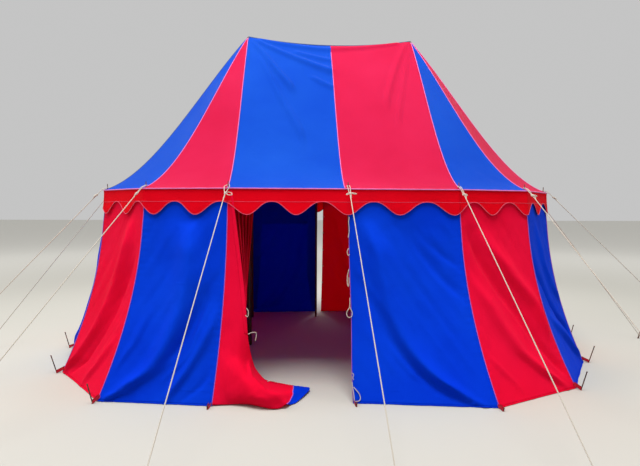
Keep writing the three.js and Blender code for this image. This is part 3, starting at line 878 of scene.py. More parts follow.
def valancePoints(position, first, last, v):
    look = valance
    run = np.interp(position, runCorners, eaveRuns)
    band = look["drop"] - look["archRise"]
    depth = look["topDrop"] + v * (band + look["archRise"] * valanceWave(run) - look["topDrop"])
    share = depth / look["drop"]
    tucked = np.sin(math.pi * (depth / look["tuckDepth"]).clip(0, 1) / 2)
    curled = softNoise(run * look["curlRates"][0], depth * look["curlRates"][1], look["curlSeed"])
    out = look["lean"] * share ** look["leanPower"] - look["tuck"] * tucked * (1 - share)
    out += look["curl"] * curled * share
    inner = alongBays(position, first, last, eavePlan)
    outer = alongBays(position, first, last, lambda corner: eavePlan(corner, -1.0))
    plan = inner + (outer - inner) * out[:, None]
    return np.column_stack([plan, tent["eaveHeight"] - depth])


# Columns evenly spaced along each wave, with one on each corner
def valanceColumns(first, last):
    start, end = wavesTo(np.interp([first, last], runCorners, eaveRuns))
    count = round((end - start) * valance["columnsPerWave"])
    runs = np.interp(np.linspace(start, end, count + 1), range(len(waveTips)), waveTips)
    at = np.interp(runs, eaveRuns, runCorners)
    for corner in range(first, last + 1):
        at[np.abs(at - corner).argmin()] = corner
    return at


def makeValance(name, first, last):
    look = valance
    at = valanceColumns(first, last)

    def place(u, v):
        return valancePoints(at[np.rint(u * (len(at) - 1)).astype(int)], first, last, v)

    run = float(np.diff(np.interp([first, last], runCorners, eaveRuns))[0])
    mesh = gridMesh(len(at) - 1, look["rows"], place, run, look["drop"])
    piece = finishPiece(name, mesh, ["valanceRed"], thickness=tent["clothThick"])
    lengths = look["drop"] - look["archRise"] * (1 - valanceWave(np.interp(at, runCorners, eaveRuns)))
    for part, radius, down in (("Edging", look["edgingRadius"], np.ones(len(at))),
                               ("Stitching", look["stitchRadius"], look["stitchDrop"] / lengths)):
        strip = emptyMesh()
        line = valancePoints(at, first, last, down.clip(0, 1))
        addTo(strip, tubeMesh(line, radius, look["trimSides"]))
        finishPiece(name + part, strip, ["edging"], trim=True)


for side, first, last in (("Front", -1, 1), ("Right", 1, 7), ("Back", 7, 9), ("Left", 9, 15)):
    makeValance("valance" + side, first, last)
print("valance made")

# Walls
wallCloth = {
    "columns": 56,  # on each bay
    "rows": 96,
    "slope": 1.80,
    "belly": 0.010,
    "bellyWidth": 0.9,
    "bellyLeast": 0.35,
    "bellyPower": 0.7,
    "softDepth": 0.006,
    "softSize": 0.45,
    "softStretch": 1.8,
    "softSeed": 70,
    "streakDepth": 0.0045,
    "streakGap": 0.15,
    "streakLength": 1.2,
    "streakLean": 0.55,
    "streakStart": (0.02, 0.20),  # above the hem
    "streakSeed": 130,
    "seamPucker": 0.0050,
    "puckerLength": 0.060,
    "puckerReach": 0.11,
    "puckerStart": (0.02, 0.10),
    "puckerSeed": 50,
    "reliefStart": (0.10, 0.20),  # below the eave, where the valance covers it
}
# Drag folds that swing down to the pegged corner on the far side from the door. Each runs through points,
# given as its height and its distance from that corner's seam, both as shares of the wall. Then come its half
# width as a share of the bay and its depth in metres, where a minus depth is a hollow
wallFolds = {
    0: [
        ([(0.00, 0.10), (0.03, 0.20), (0.11, 0.38), (0.19, 0.50), (0.28, 0.59), (0.38, 0.64),
          (0.47, 0.68), (0.66, 0.72), (0.84, 0.80)], 0.098, 0.046),
        ([(0.00, 0.20), (0.05, 0.37), (0.13, 0.52), (0.23, 0.64), (0.33, 0.73), (0.44, 0.81),
          (0.62, 0.90)], 0.110, -0.018),
        ([(0.03, 0.36), (0.09, 0.46), (0.12, 0.54), (0.20, 0.64), (0.30, 0.73)], 0.050, 0.016),
        ([(0.42, 0.00), (0.60, 0.25), (0.80, 0.45)], 0.050, -0.014),
        ([(0.58, 0.00), (0.70, 0.22), (0.80, 0.36)], 0.045, -0.010),
    ],
    1: [
        ([(0.02, 0.01), (0.11, 0.09), (0.24, 0.25), (0.39, 0.40), (0.50, 0.56), (0.64, 0.74),
          (0.82, 0.89)], 0.080, -0.030),
        ([(0.22, 0.02), (0.41, 0.13), (0.57, 0.38), (0.78, 0.66)], 0.100, 0.034),
        ([(0.01, 0.12), (0.10, 0.33), (0.20, 0.52), (0.35, 0.70), (0.58, 0.90)], 0.100, 0.030),
        ([(0.04, 0.68), (0.13, 0.81), (0.24, 0.97)], 0.060, 0.014),
    ],
    2: [
        ([(0.12, 0.00), (0.22, 0.16), (0.30, 0.38), (0.38, 0.53), (0.48, 0.70), (0.58, 0.88),
          (0.70, 0.98)], 0.075, -0.038),
        ([(0.01, 0.05), (0.12, 0.28), (0.22, 0.52), (0.35, 0.80)], 0.110, 0.026),
        ([(0.34, 0.02), (0.45, 0.24), (0.60, 0.45), (0.82, 0.60)], 0.100, 0.022),
    ],
    3: [
        ([(0.00, 0.04), (0.15, 0.26), (0.35, 0.50), (0.60, 0.70), (0.82, 0.82)], 0.110, 0.028),
        ([(0.02, 0.20), (0.15, 0.45), (0.35, 0.70), (0.55, 0.85)], 0.070, -0.016),
    ],
    14: [
        ([(0.00, 0.04), (0.04, 0.19), (0.16, 0.44), (0.27, 0.52), (0.42, 0.59), (0.61, 0.62),
          (0.84, 0.60)], 0.140, 0.060),
        ([(0.08, 0.52), (0.20, 0.70), (0.32, 0.78), (0.46, 0.86)], 0.040, 0.012),
        ([(0.01, 0.14), (0.08, 0.31), (0.21, 0.55), (0.36, 0.71), (0.55, 0.80)], 0.090, -0.024),
        ([(0.00, 0.60), (0.14, 0.73), (0.32, 0.89), (0.44, 0.96)], 0.080, 0.030),
        ([(0.00, 0.72), (0.08, 0.88), (0.20, 0.97)], 0.060, -0.014),
        ([(0.13, 0.05), (0.28, 0.17), (0.44, 0.225)], 0.055, 0.012),
    ],
    13: [
        ([(0.00, 0.05), (0.11, 0.24), (0.31, 0.46), (0.47, 0.57), (0.67, 0.68),
          (0.85, 0.75)], 0.100, 0.036),
        ([(0.02, 0.22), (0.11, 0.41), (0.31, 0.62), (0.47, 0.72), (0.68, 0.88)], 0.070, -0.024),
        ([(0.00, 0.55), (0.12, 0.72), (0.30, 0.92)], 0.080, 0.018),
    ],
    12: [
        ([(0.00, 0.04), (0.16, 0.30), (0.36, 0.52), (0.62, 0.70), (0.82, 0.80)], 0.110, 0.028),
        ([(0.02, 0.22), (0.15, 0.47), (0.35, 0.70), (0.55, 0.84)], 0.070, -0.016),
    ],
    7: [
        ([(0.00, 0.04), (0.10, 0.20), (0.22, 0.38), (0.38, 0.52), (0.60, 0.62),
          (0.84, 0.70)], 0.090, 0.036),
        ([(0.01, 0.14), (0.08, 0.32), (0.20, 0.52), (0.36, 0.68), (0.58, 0.80)], 0.070, -0.018),
    ],
}
# The back half's folds are the front's, turned half round
wallFolds |= {bay + halfCount: folds for bay, folds in wallFolds.items() if bay < 4}
wallFolds |= {bay - halfCount: folds for bay, folds in wallFolds.items() if bay in (12, 13, 14)}
dragFold = {
    "scale": 1.7,
    "rootWidth": 0.25,  # at the hem, as a share of the width further up
    "widening": 2.2,
    "wideningPower": 0.7,
    "sides": (1.3, 0.7),  # a fold is softer on its pulled side
    "startFade": (-0.04, 0.10),
    "endFade": (-0.16, 0.06),
}


def fromPulledSeam(bay, part):
    return part if bay % halfCount >= halfCount // 2 else 1 - part


def dragFolds(bay, part, h):
    q = fromPulledSeam(bay, part)
    widened = np.minimum(h * dragFold["widening"], 1.0) ** dragFold["wideningPower"]
    spread = dragFold["rootWidth"] + (1 - dragFold["rootWidth"]) * widened
    total = np.zeros_like(part)
    for points, halfWidth, depth in wallFolds.get(bay, []):
        heights, reaches = np.array(points).T
        line = throughPoints(reaches[:, None], np.interp(h, heights, range(len(heights))))[:, 0]
        away = (q - line) / (halfWidth * spread)
        ridge = np.exp(-(away / np.where(away < 0, *dragFold["sides"])) ** 2)
        started = smoothStep(h, *(heights[0] + np.array(dragFold["startFade"])))
        ended = smoothStep(h, *(heights[-1] + np.array(dragFold["endFade"])))
        total += dragFold["scale"] * depth * ridge * started * (1 - ended)
    return total * awayFromSeams(part)


def wallRelief(position, v):
    look = wallCloth
    relief = np.zeros_like(position)
    bays = np.floor(position + 1e-9).astype(int)
    for bay in np.unique(bays):
        inBay = bays == bay
        part, down = (position[inBay] - bay).clip(0, 1), v[inBay]
        corner = int(bay) % cornerCount
        flare = down ** tent["flarePower"]
        width = planLength(corner, eavePlan) * (1 - flare) + planLength(corner, hemPlan) * flare
        fall, height = down * look["slope"], (1 - down) * look["slope"]
        bulge = look["bellyLeast"] + (1 - look["bellyLeast"]) * np.sin(math.pi * down) ** look["bellyPower"]
        sunk = 4 * part * (1 - part) * (width / look["bellyWidth"]) * bulge
        soft = softNoise(part * width / look["softSize"], fall / (look["softStretch"] * look["softSize"]),
                         look["softSeed"] + corner)
        across = fromPulledSeam(corner, part) * width - look["streakLean"] * height
        streaks = softNoise(across / look["streakGap"], height / look["streakLength"],
                            look["streakSeed"] + corner, 2)
        streaks *= smoothStep(1 - down, *look["streakStart"])
        here = (look["softDepth"] * soft + look["streakDepth"] * streaks) * awayFromSeams(part)
        here += seamPuckers(part, width, fall, look, look["puckerSeed"] + corner) \
            * smoothStep(down, *look["puckerStart"])
        here += dragFolds(corner, part, 1 - down) - look["belly"] * sunk
        relief[inBay] = here * smoothStep(down, *look["reliefStart"])
    return relief


# Free edges stand in from their seams by one distance above and another at the hem
sewn = (0.0, 0.0)
freeEdges = {"door": (0.032, 0.0), "backRed": (0.103, 0.103), "backBlue": (-0.019, -0.019)}
trimTurn = (0.55, 1.0)  # shares of the way down between which one gives way to the other


def wallSurface(first, last, trimStart, trimEnd):
    topWidth, footWidth = planLength(first, eavePlan), planLength(first, hemPlan)

    def positions(u, v):
        width = topWidth + (footWidth - topWidth) * v ** tent["flarePower"]
        low = smoothStep(v, *trimTurn)
        start = first + (trimStart[0] + (trimStart[1] - trimStart[0]) * low) / width
        end = last - (trimEnd[0] + (trimEnd[1] - trimEnd[0]) * low) / width
        return start + (end - start) * u

    def bare(u, v):
        return wallPoints(positions(u, v), first, last, v)

    def place(u, v):
        relief = wallRelief(positions(u, v).clip(first, last - 1e-6), v)
        points = bare(u, v) + surfaceNormals(bare, u, v) * relief[:, None]
        points[:, 2] = np.maximum(points[:, 2], tent["hemHeight"])
        return points

    return place


wallRuns = [
    ("wallFrontRight", 0, 1, "wall_blue", freeEdges["door"], sewn),
    ("wallRightFront", 1, 3, "wall_red", sewn, sewn),
    ("wallRightSide", 3, 5, "wall_red", sewn, sewn),
    ("wallRightBack", 5, 7, "wall_red", sewn, sewn),
    ("wallBackRight", 7, 8, "wall_red", sewn, freeEdges["backRed"]),
    ("wallBackLeft", 8, 9, "wall_blue", freeEdges["backBlue"], sewn),
    ("wallLeftBack", 9, 11, "wall_red", sewn, sewn),
    ("wallLeftSide", 11, 13, "wall_red", sewn, sewn),
    ("wallLeftFront", 13, 15, "wall_red", sewn, sewn),
]
hemBinding = {"radius": 0.0055, "sides": 8}


def makeWall(name, first, last, slotName, trimStart, trimEnd):
    place = wallSurface(first, last, trimStart, trimEnd)
    bays = last - first
    topRun = bayRun(first, last, eavePlan) - trimStart[0] - trimEnd[0]
    footRun = bayRun(first, last, hemPlan) - trimStart[1] - trimEnd[1]
    slope = wallCloth["slope"]
    mesh = gridMesh(wallCloth["columns"] * bays, wallCloth["rows"], place, footRun, slope)
    colourBays(mesh, first, last, footRun)
    wall = finishPiece(name, mesh, ["wallBlue", "wallRed"], thickness=tent["clothThick"])
    binding = emptyMesh()
    for bay in range(bays):
        u = np.linspace(bay / bays, (bay + 1) / bays, wallCloth["columns"] + 1)
        line = place(u, np.ones_like(u))
        addTo(binding, tubeMesh(line, hemBinding["radius"], hemBinding["sides"]), (first + bay) % 2)
    hem = finishPiece(name + "Hem", binding, ["wallBlue", "wallRed"], trim=True)


for run in wallRuns:
    makeWall(*run)

# The blue back panel's border is doubled on the inside, so no daylight comes through it
facing = {
    "seamSide": 0.165,
    "gapSide": (0.160, 0.160, 0.060),  # its width beside the back door, at the heights below
    "gapHeights": (1.8, 0.66, 0.03),
    "gapSideMean": 0.145,
    "top": 0.39,
    "topWidth": 0.7,
    "gap": 0.006,  # to the wall
    "ends": (0.98, 0.995),  # where it stops short of the hem and of the seam
    "sideGrid": (8, 80),
    "topGrid": (40, 16),
}


def makeFacing():
    wall = wallSurface(8, 9, freeEdges["backBlue"], sewn)
    width, slope = planLength(8, hemPlan) - freeEdges["backBlue"][1], wallCloth["slope"]
    top = facing["top"] / slope
    seamEdge = 1 - facing["seamSide"] / width
    foot, seam = facing["ends"]

    def inside(u, v):
        return wall(u, v) - surfaceNormals(wall, u, v) * facing["gap"]

    def gapEdge(v):
        return np.interp(slope * (1 - v), facing["gapHeights"][::-1], facing["gapSide"][::-1]) / width

    def besideGap(u, v):
        return inside(u * gapEdge(v), v * foot)

    def besideSeam(u, v):
        return inside(seamEdge + u * (seam - seamEdge), v * foot)

    def above(u, v):
        return inside(gapEdge(v * top) * (1 - u) + seamEdge * u, v * top)

    border = emptyMesh()
    addTo(border, gridMesh(*facing["sideGrid"], besideGap, facing["gapSide"][0], slope))
    addTo(border, gridMesh(*facing["sideGrid"], besideSeam, facing["seamSide"], slope))
    addTo(border, gridMesh(*facing["topGrid"], above, facing["topWidth"], facing["top"]))
    piece = finishPiece("backPanelFacing", border, ["wallBlue"], trim=True,
                        thickness=tent["clothThick"])


makeFacing()


def makeWallPiping():
    seams = emptyMesh()
    v = np.linspace(piping["wallStart"], 1.0, piping["wallPoints"])
    for corner in [*range(1, halfCount), *range(halfCount + 1, cornerCount)]:
        outward = np.append(outwardOf(corner), 0.0) * piping["standProud"]
        line = wallPoints(np.full_like(v, corner), corner, corner + 1, v) + outward
        addTo(seams, tubeMesh(line, piping["wallRadius"], piping["sides"]))
    doorEdge = wallSurface(0, 1, freeEdges["door"], sewn)(np.zeros_like(v), v)
    addTo(seams, tubeMesh(doorEdge, piping["doorRadius"], piping["sides"]))
    finishPiece("wallSeamPiping", seams, ["wallPiping"], trim=True)


makeWallPiping()
print("walls made")

# The front door, drawn back to its seam
door = {
    "columns": 240,
    "rows": 110,
    "width": 1.10,
    "length": 2.05,
    "leastFront": 0.02,  # share of the width in front of the fold edge
    "pleats": 5,
    "pleatDepth": 0.10,  # at most
    "pleatLean": 0.15,
    "seamLowest": 0.012,
    "lowest": 0.004,
    "patchAcross": 0.85,  # shares of the width and length where the blue corner patch starts
    "patchDown": 0.895,
    "pipingRadius": 0.004,
    "pipingPoints": 30,
    "hemWidth": 0.036,
    "hemRun": (0.02, 0.62),  # down the fold edge
    "hemLength": 1.2,
    "hemProud": (0.001, -0.0035, 0.0),
    "hemGrid": (4, 70),
    "softDepth": 0.007,
    "softRates": (3.0, 3.4),
    "softStart": (0.3, 0.8),
    "softClear": 0.12,  # near the ground it lies flat
    "softSeed": 23,
    "creaseStart": (0.70, 0.78),
    "creaseHeight": 0.030,
    "creaseWidths": (0.060, 0.035),  # below and above it, as shares of the way to the edge
}
# Down its length: how far down (0 at the eave, 1 at the hem), the share of its width that lies in front of
# the fold edge, two points on the way and the fold edge itself. The two points are left out where the cloth
# hangs straight
doorRails = [
    (0.00, 0.05, None, None, (-0.985, -1.497, 1.784)),
    (0.20, 0.08, None, None, (-0.936, -1.515, 1.40)),
    (0.40, 0.13, None, None, (-0.885, -1.550, 1.00)),
    (0.55, 0.19, None, None, (-0.856, -1.600, 0.70)),
    (0.65, 0.25, (-1.000, -1.620, 0.590), (-0.920, -1.640, 0.535), (-0.837, -1.605, 0.480)),
    (0.74, 0.36, (-0.985, -1.670, 0.420), (-0.895, -1.672, 0.355), (-0.797, -1.560, 0.270)),
    (0.77, 0.42, (-0.975, -1.704, 0.355), (-0.862, -1.716, 0.300), (-0.752, -1.530, 0.165)),
    (0.80, 0.50, (-0.965, -1.740, 0.300), (-0.820, -1.752, 0.240), (-0.680, -1.500, 0.085)),
    (0.85, 0.68, (-0.945, -1.778, 0.215), (-0.765, -1.806, 0.192), (-0.560, -1.455, 0.050)),
    (0.90, 0.87, (-0.925, -1.806, 0.130), (-0.700, -1.856, 0.144), (-0.433, -1.450, 0.030)),
    (0.94, 1.00, (-0.905, -1.812, 0.078), (-0.645, -1.888, 0.108), (-0.307, -1.490, 0.026)),
    (0.97, 1.00, (-0.880, -1.804, 0.040), (-0.625, -1.888, 0.054), (-0.360, -1.640, 0.020)),
    (1.00, 1.00, (-0.850, -1.785, 0.010), (-0.610, -1.888, 0.010), (-0.440, -1.780, 0.010)),
]
# Where the gathered folds behind the edge end, by how far down
gatherEnds = [
    (0.00, (-0.790, -1.300)), (0.20, (-0.828, -1.350)), (0.32, (-0.848, -1.385)),
    (0.44, (-0.866, -1.415)), (0.59, (-0.880, -1.445)), (0.68, (-0.872, -1.455)),
    (0.75, (-0.830, -1.460)), (0.80, (-0.715, -1.460)), (0.93, (-0.350, -1.480)),
]
# The crease where the trailing cloth turns over, as a share of the way from the seam to the edge, by how
# far down
creasePath = [(0.70, 1.00), (0.80, 0.72), (0.90, 0.69), (0.96, 0.75), (1.00, 0.85)]


def doorRailPoints():
    rows = []
    for v, share, nearer, further, edge in doorRails:
        seam = wallPoints(np.array([-1.0]), -1, 0, np.array([v]))[0]
        seam[2] = max(seam[2], door["seamLowest"])
        way = np.array(edge) - seam
        nearer, further = nearer or seam + way / 3, further or seam + way * 2 / 3
        rows.append(np.concatenate([seam, nearer, further, edge, [share]]))
    return np.array(rows)


# Cloth in front of the fold edge: across from the seam, through the two points, to the edge
def frontCloth(rails, s):
    padded = np.stack([2 * rails[0] - rails[1], *rails, 2 * rails[3] - rails[2]])
    start = np.minimum(np.floor(3 * s).astype(int), 2)
    each = np.arange(len(s))
    return curveBetween(*(padded[start + step, each] for step in range(4)), (3 * s - start)[:, None])


# Cloth behind the edge, gathered in pleats as deep as its spare width makes them
def gatheredCloth(edge, across, share, down):
    steps, ends = [v for v, _ in gatherEnds], np.array([end for _, end in gatherEnds])
    gather = np.column_stack([np.interp(down, steps, ends[:, 0]), np.interp(down, steps, ends[:, 1]),
                              edge[:, 2]])
    gather = np.where((down > steps[-1])[:, None], edge, gather)
    run = np.linalg.norm((gather - edge)[:, :2], axis=1)
    folds = 2 * door["pleats"]
    spare = (door["width"] * (1 - share) / folds) ** 2 - (run / folds) ** 2
    depth = np.sqrt(np.maximum(spare, 0)).clip(0, door["pleatDepth"])
    way = ((across - share) / np.maximum(1 - share, 1e-6)).clip(0, 1)
    swing = depth * (0.5 - 0.5 * np.cos(2 * math.pi * door["pleats"] * way))
    points = edge + (gather - edge) * way[:, None]
    points[:, 1] += swing
    points[:, 0] -= door["pleatLean"] * swing
    return points


def doorPlace(across, down):
    steps = [row[0] for row in doorRails]
    rows = throughPoints(doorRailPoints(), np.interp(down, steps, range(len(steps))))
    rails = [rows[:, at:at + 3] for at in (0, 3, 6, 9)]
    share = rows[:, 12].clip(door["leastFront"], 1)
    inFront = across <= share
    s = (across / share).clip(0, 1)
    points = frontCloth(rails, s)
    away = s - np.interp(down, *np.array(creasePath).T)
    away /= np.where(away < 0, *door["creaseWidths"])
    raised = door["creaseHeight"] * np.exp(-away ** 2) * smoothStep(down, *door["creaseStart"])
    points[:, 1] -= raised
    points[:, 2] += raised
    points = np.where(inFront[:, None], points, gatheredCloth(rails[3], across, share, down))
    ruffle = softNoise(across * door["softRates"][0], down * door["softRates"][1], door["softSeed"])
    ruffle *= door["softDepth"] * smoothStep(down, *door["softStart"])
    ruffle *= inFront * np.sin(math.pi * s) ** 0.5 * smoothStep(points[:, 2], 0.0, door["softClear"])
    points[:, 1] -= ruffle
    points[:, 2] = np.maximum(points[:, 2], door["lowest"])
    return points


def doorHemPlace(u, v):
    down = door["hemRun"][0] + (door["hemRun"][1] - door["hemRun"][0]) * v
    share = np.interp(down, [row[0] for row in doorRails], [row[1] for row in doorRails])
    return doorPlace(share - (1 - u) * door["hemWidth"] / door["width"], down) + door["hemProud"]


def makeDoor():
    width, length = door["width"], door["length"]
    mesh = gridMesh(door["columns"], door["rows"], doorPlace, width, length)
    cloth = mesh.loops.layers.uv["cloth"]
    for face in mesh.faces:
        centre = clothCentre(face, cloth)
        patched = centre.x / width < door["patchAcross"] or centre.y / length < door["patchDown"]
        face.material_index = int(patched)
    flap = finishPiece("doorFlap", mesh, ["wallBlue", "wallRed"], thickness=tent["clothThick"])
    seam = emptyMesh()
    v = np.linspace(door["patchDown"], 1.0, door["pipingPoints"])
    line = doorPlace(np.full_like(v, door["patchAcross"]), v)
    addTo(seam, tubeMesh(line, door["pipingRadius"], piping["sides"]))
    seamPiece = finishPiece("doorPiping", seam, ["wallPiping"], trim=True)
    band = gridMesh(*door["hemGrid"], doorHemPlace, door["hemWidth"], door["hemLength"])
    hem = finishPiece("doorHem", band, ["wallRed"], trim=True, thickness=tent["clothThick"])


makeDoor()
print("door made")

# Poles: turned softwood, each side pole with an iron ferrule and a spike through the eave
pole = {
    "centreRadius": 0.027,
    "centreTip": 0.036,
    "centreRings": (0.9, 1.8, 2.7),
    "centreTaper": (0.4, 0.62),  # share of the tip still to go, and of the radius there
    "centrePoint": 0.004,
    "sideRadius": 0.015,
    "sideInset": 0.035,
    "sideTop": 1.795,
    "sideRings": (0.6, 1.2),
    "topBevel": (0.0005, 0.001),
    "ferruleHeight": 0.070,
    "ferruleRadius": 0.0155,
    "ferruleSunk": 0.0005,
    "ferruleCap": 0.0004,
    "spikeRadius": 0.004,
    "spikeRise": 0.046,
    "spikeTip": (0.006, 0.0012),  # its height and its radius at the top
    "bevel": 0.002,
    "sides": 24,
    "shift": {0: (0.030, 0.0)},  # a pole's top off its corner
    "kick": {0: (0.070, -0.050)},  # a pole's foot off its top
    "roofLastRow": 0.9,  # the roof's solid runs straight from here to the eave
}


def polePlan(corner):
    return eavePlan(corner, pole["sideInset"]) + pole["shift"].get(corner, (0.0, 0.0))


def roofTopAt(corner, inset):
    at = np.array([float(corner)])
    top = roofPoints(at, corner, corner + 1, np.array([0.0]))[0]
    run = np.linalg.norm(eavePlan(corner) - top[:2])
    lastRow = roofPoints(at, corner, corner + 1, np.array([pole["roofLastRow"]]))[0][2]
    return tent["eaveHeight"] + (lastRow - tent["eaveHeight"]) / (1 - pole["roofLastRow"]) * inset / run


def makeCentrePole(side, name):
    radius, bevel, top, tip = pole["centreRadius"], pole["bevel"], tent["peakHeight"], pole["centreTip"]
    left, share = pole["centreTaper"]
    mesh = turnedMesh([
        (0.0, radius - bevel), (bevel, radius), *((height, radius) for height in pole["centreRings"]),
        (top - tip, radius), (top - tip * left, radius * share), (top, pole["centrePoint"]),
    ], pole["sides"])
    bmesh.ops.translate(mesh, verts=mesh.verts, vec=(side * tent["halfSpan"], 0, 0))
    finishPiece(name, mesh, ["wood"])


def makeSidePole(corner):
    radius, bevel, top = pole["sideRadius"], pole["bevel"], pole["sideTop"]
    drop, turnIn = pole["topBevel"]
    mesh = emptyMesh()
    addTo(mesh, turnedMesh([
        (0.0, radius - bevel), (bevel, radius), *((height, radius) for height in pole["sideRings"]),
        (top - drop, radius), (top, radius - turnIn),
    ], pole["sides"]))
    spikeTop = roofTopAt(corner, pole["sideInset"]) + pole["spikeRise"]
    tipHeight, tipRadius = pole["spikeTip"]
    addTo(mesh, turnedMesh([
        (top - pole["ferruleHeight"], radius - pole["ferruleSunk"]),
        (top - pole["ferruleHeight"], pole["ferruleRadius"]), (top, pole["ferruleRadius"]),
        (top + pole["ferruleCap"], pole["spikeRadius"]), (spikeTop - tipHeight, pole["spikeRadius"]),
        (spikeTop, tipRadius),
    ], pole["sides"]), 1)
    kick = pole["kick"].get(corner, (0.0, 0.0))
    for vert in mesh.verts:
        fall = max(0.0, 1 - vert.co.z / top)
        vert.co += Vector((kick[0] * fall, kick[1] * fall, 0))
    bmesh.ops.translate(mesh, verts=mesh.verts, vec=(*polePlan(corner), 0))
    finishPiece(f"sidePole{corner + 1}", mesh, ["wood", "iron"])


makeCentrePole(-1, "centrePoleLeft")
makeCentrePole(1, "centrePoleRight")
for corner in range(cornerCount):
    makeSidePole(corner)
print("poles made")


# An iron peg with its hammered head. It leans away from the tent, and its foot stays flat on the ground
def pegMesh(look, height, out, foot):
    radius, head = look["pegRadius"], look["pegHeadHeight"]
    lower, upper, swell, top = look["pegHead"]
    rod = turnedMesh([(0.0, radius), (height - head, radius), (height - head * lower, radius * swell),
                      (height - head * upper, radius * swell), (height, radius * top)], look["pegSides"])
    lean = math.tan(math.radians(look["pegLean"]))
    for vert in rod.verts:
        reach = vert.co.z * lean
        vert.co.x += foot[0] + out[0] * reach
        vert.co.y += foot[1] + out[1] * reach
    return rod


# Guy ropes: a doubled loop over the spike, a bow outside the eave, a straight laid run and turns on the peg
guy = {
    "radius": 0.0039,
    "sides": 9,
    "lobe": 0.13,
    "lay": 0.060,
    "ring": 0.007,
    "headings": (2, 5, 14, 60, 90, 120, 148, 172),  # degrees from -Y towards +X, front half
    "headingShift": {11: -20},
    "reaches": (1.95, 1.95, 1.95, 1.65, 1.45, 1.65, 1.85, 1.95),  # eave corner to peg, along the ground
    "eyeRadius": 0.0097,
    "eyeLift": 0.012,
    "bendOut": 0.012,
    "bendLift": 0.009,
    "knotReach": 0.080,
    "knotTurns": 3,
    "knotRadius": 0.0062,
    "knotLength": 0.022,
    "strandRadius": 0.0032,
    "halfGaps": (0.0055, 0.008, 0.0105),  # between the two strands: at the knot, the eave and the eye
    "wideHalfGaps": {15: 0.023, 0: 0.011},  # at the eave of these corners
    "strandEnd": 0.004,  # from the knot's middle to the strands' ends. The rope starts twice as far from it
    "bowRadius": 0.0034,
    "bowRise": 0.009,
    "bowSkew": 1.4,
    "tail": ((0.0, 0.004, 0.010), (0.004, 0.020, 0.011), (0.006, 0.040, 0.006), (0.004, 0.056, -0.002)),
    "pegRadius": 0.008,
    "pegHeight": 0.210,
    "pegLean": 18,
    "pegHeadHeight": 0.020,
    "pegHead": (0.7, 0.2, 1.25, 0.9),  # where it swells, as shares of its height, and how much, and its top
    "pegSides": 16,
    "holdHeight": 0.050,
    "pegTurns": 3,
    "pegTurnsLength": 0.030,
}
# The bow at each corner: how far each loop reaches to the right and down the rope, and how wide it is
bows = {
    15: [(0.068, 0.034, 0.034)],
    0: [(0.056, 0.014, 0.013), (-0.036, 0.024, 0.013)],
    1: [(0.022, 0.026, 0.012), (-0.020, 0.022, 0.012)],
    14: [(0.020, 0.030, 0.014)],
}
plainBow = [(0.032, 0.024, 0.018), (-0.028, 0.022, 0.016)]


def ropeMesh(path, radius):
    return tubeMesh(evenPath(path, guy["ring"]), radius, guy["sides"], guy["lobe"], guy["lay"])


def helix(centre, axis, radius, length, turns, stepsEach=18):
    axis = np.asarray(axis, float) / np.linalg.norm(axis)
    side = sideOf(axis, (1.0, 0.0, 0.0))
    side /= np.linalg.norm(side)
    at = np.linspace(0, 1, stepsEach * turns + 1)
    angle = 2 * math.pi * turns * at
    return centre + np.outer((at - 0.5) * length, axis) \
        + np.outer(np.cos(angle) * radius, side) + np.outer(np.sin(angle) * radius, np.cross(axis, side))


def guyRoute(corner):
    heading = guy["headings"][corner % halfCount] + guy["headingShift"].get(corner, 0)
    heading = math.radians(heading + (180 if corner >= halfCount else 0))
    out = np.array([math.sin(heading), -math.cos(heading), 0.0])
    spike = np.append(polePlan(corner), 0.0)
    eye = spike + (0, 0, roofTopAt(corner, pole["sideInset"]) + guy["eyeLift"])
    bend = spike + out * (pole["sideInset"] + guy["bendOut"]) + (0, 0, tent["eaveHeight"] + guy["bendLift"])
    evenCorner = cornerPlan(corner, tent["eaveHalfStraight"], tent["eaveRadius"], {}, pole["sideInset"])
    pegFoot = np.append(evenCorner, 0.0) + out * guy["reaches"][corner % halfCount]
    lean = math.tan(math.radians(guy["pegLean"]))
    hold = pegFoot + out * guy["holdHeight"] * lean + (0, 0, guy["holdHeight"])
    along = (hold - bend) / np.linalg.norm(hold - bend)
    side = np.array([-out[1], out[0], 0.0])
    up = np.cross(side, along)
    return {"out": out, "side": side, "along": along, "up": up * math.copysign(1, up[2]), "lean": lean,
            "eye": eye, "bend": bend, "knot": bend + along * guy["knotReach"], "hold": hold,
            "pegFoot": pegFoot}


# From the knot over the eave, round the spike and back
def strandPath(route, corner):
    out, side, eye, bend = route["out"], route["side"], route["eye"], route["bend"]
    atKnot, atEave, atEye = guy["halfGaps"]
    lay, spread = side * atKnot, side * guy["wideHalfGaps"].get(corner, atEave)
    start, middle = route["knot"] - route["along"] * guy["strandEnd"], (bend + eye) / 2
    apart = (spread + side * atEye) / 2
    turn = [eye + (side * math.cos(angle) - out * math.sin(angle)) * guy["eyeRadius"]
            for angle in np.linspace(0, math.pi, 7)]
    return [start + lay, bend + spread, middle + apart, *turn, middle - apart, bend - spread, start - lay]


def bowPath(route, reach, drop, width):
    centre = route["side"] * reach + route["along"] * drop
    across = np.cross(centre, route["up"])
    across *= width / 2 / np.linalg.norm(across)
    loop = [(t, math.sin(math.pi * t ** guy["bowSkew"])) for t in np.linspace(0.0, 1.0, 6)]
    loop += [(t, -swell) for t, swell in reversed(loop[:-1])]
    return [route["knot"] + centre * t + across * swell + route["up"] * guy["bowRise"] for t, swell in loop]


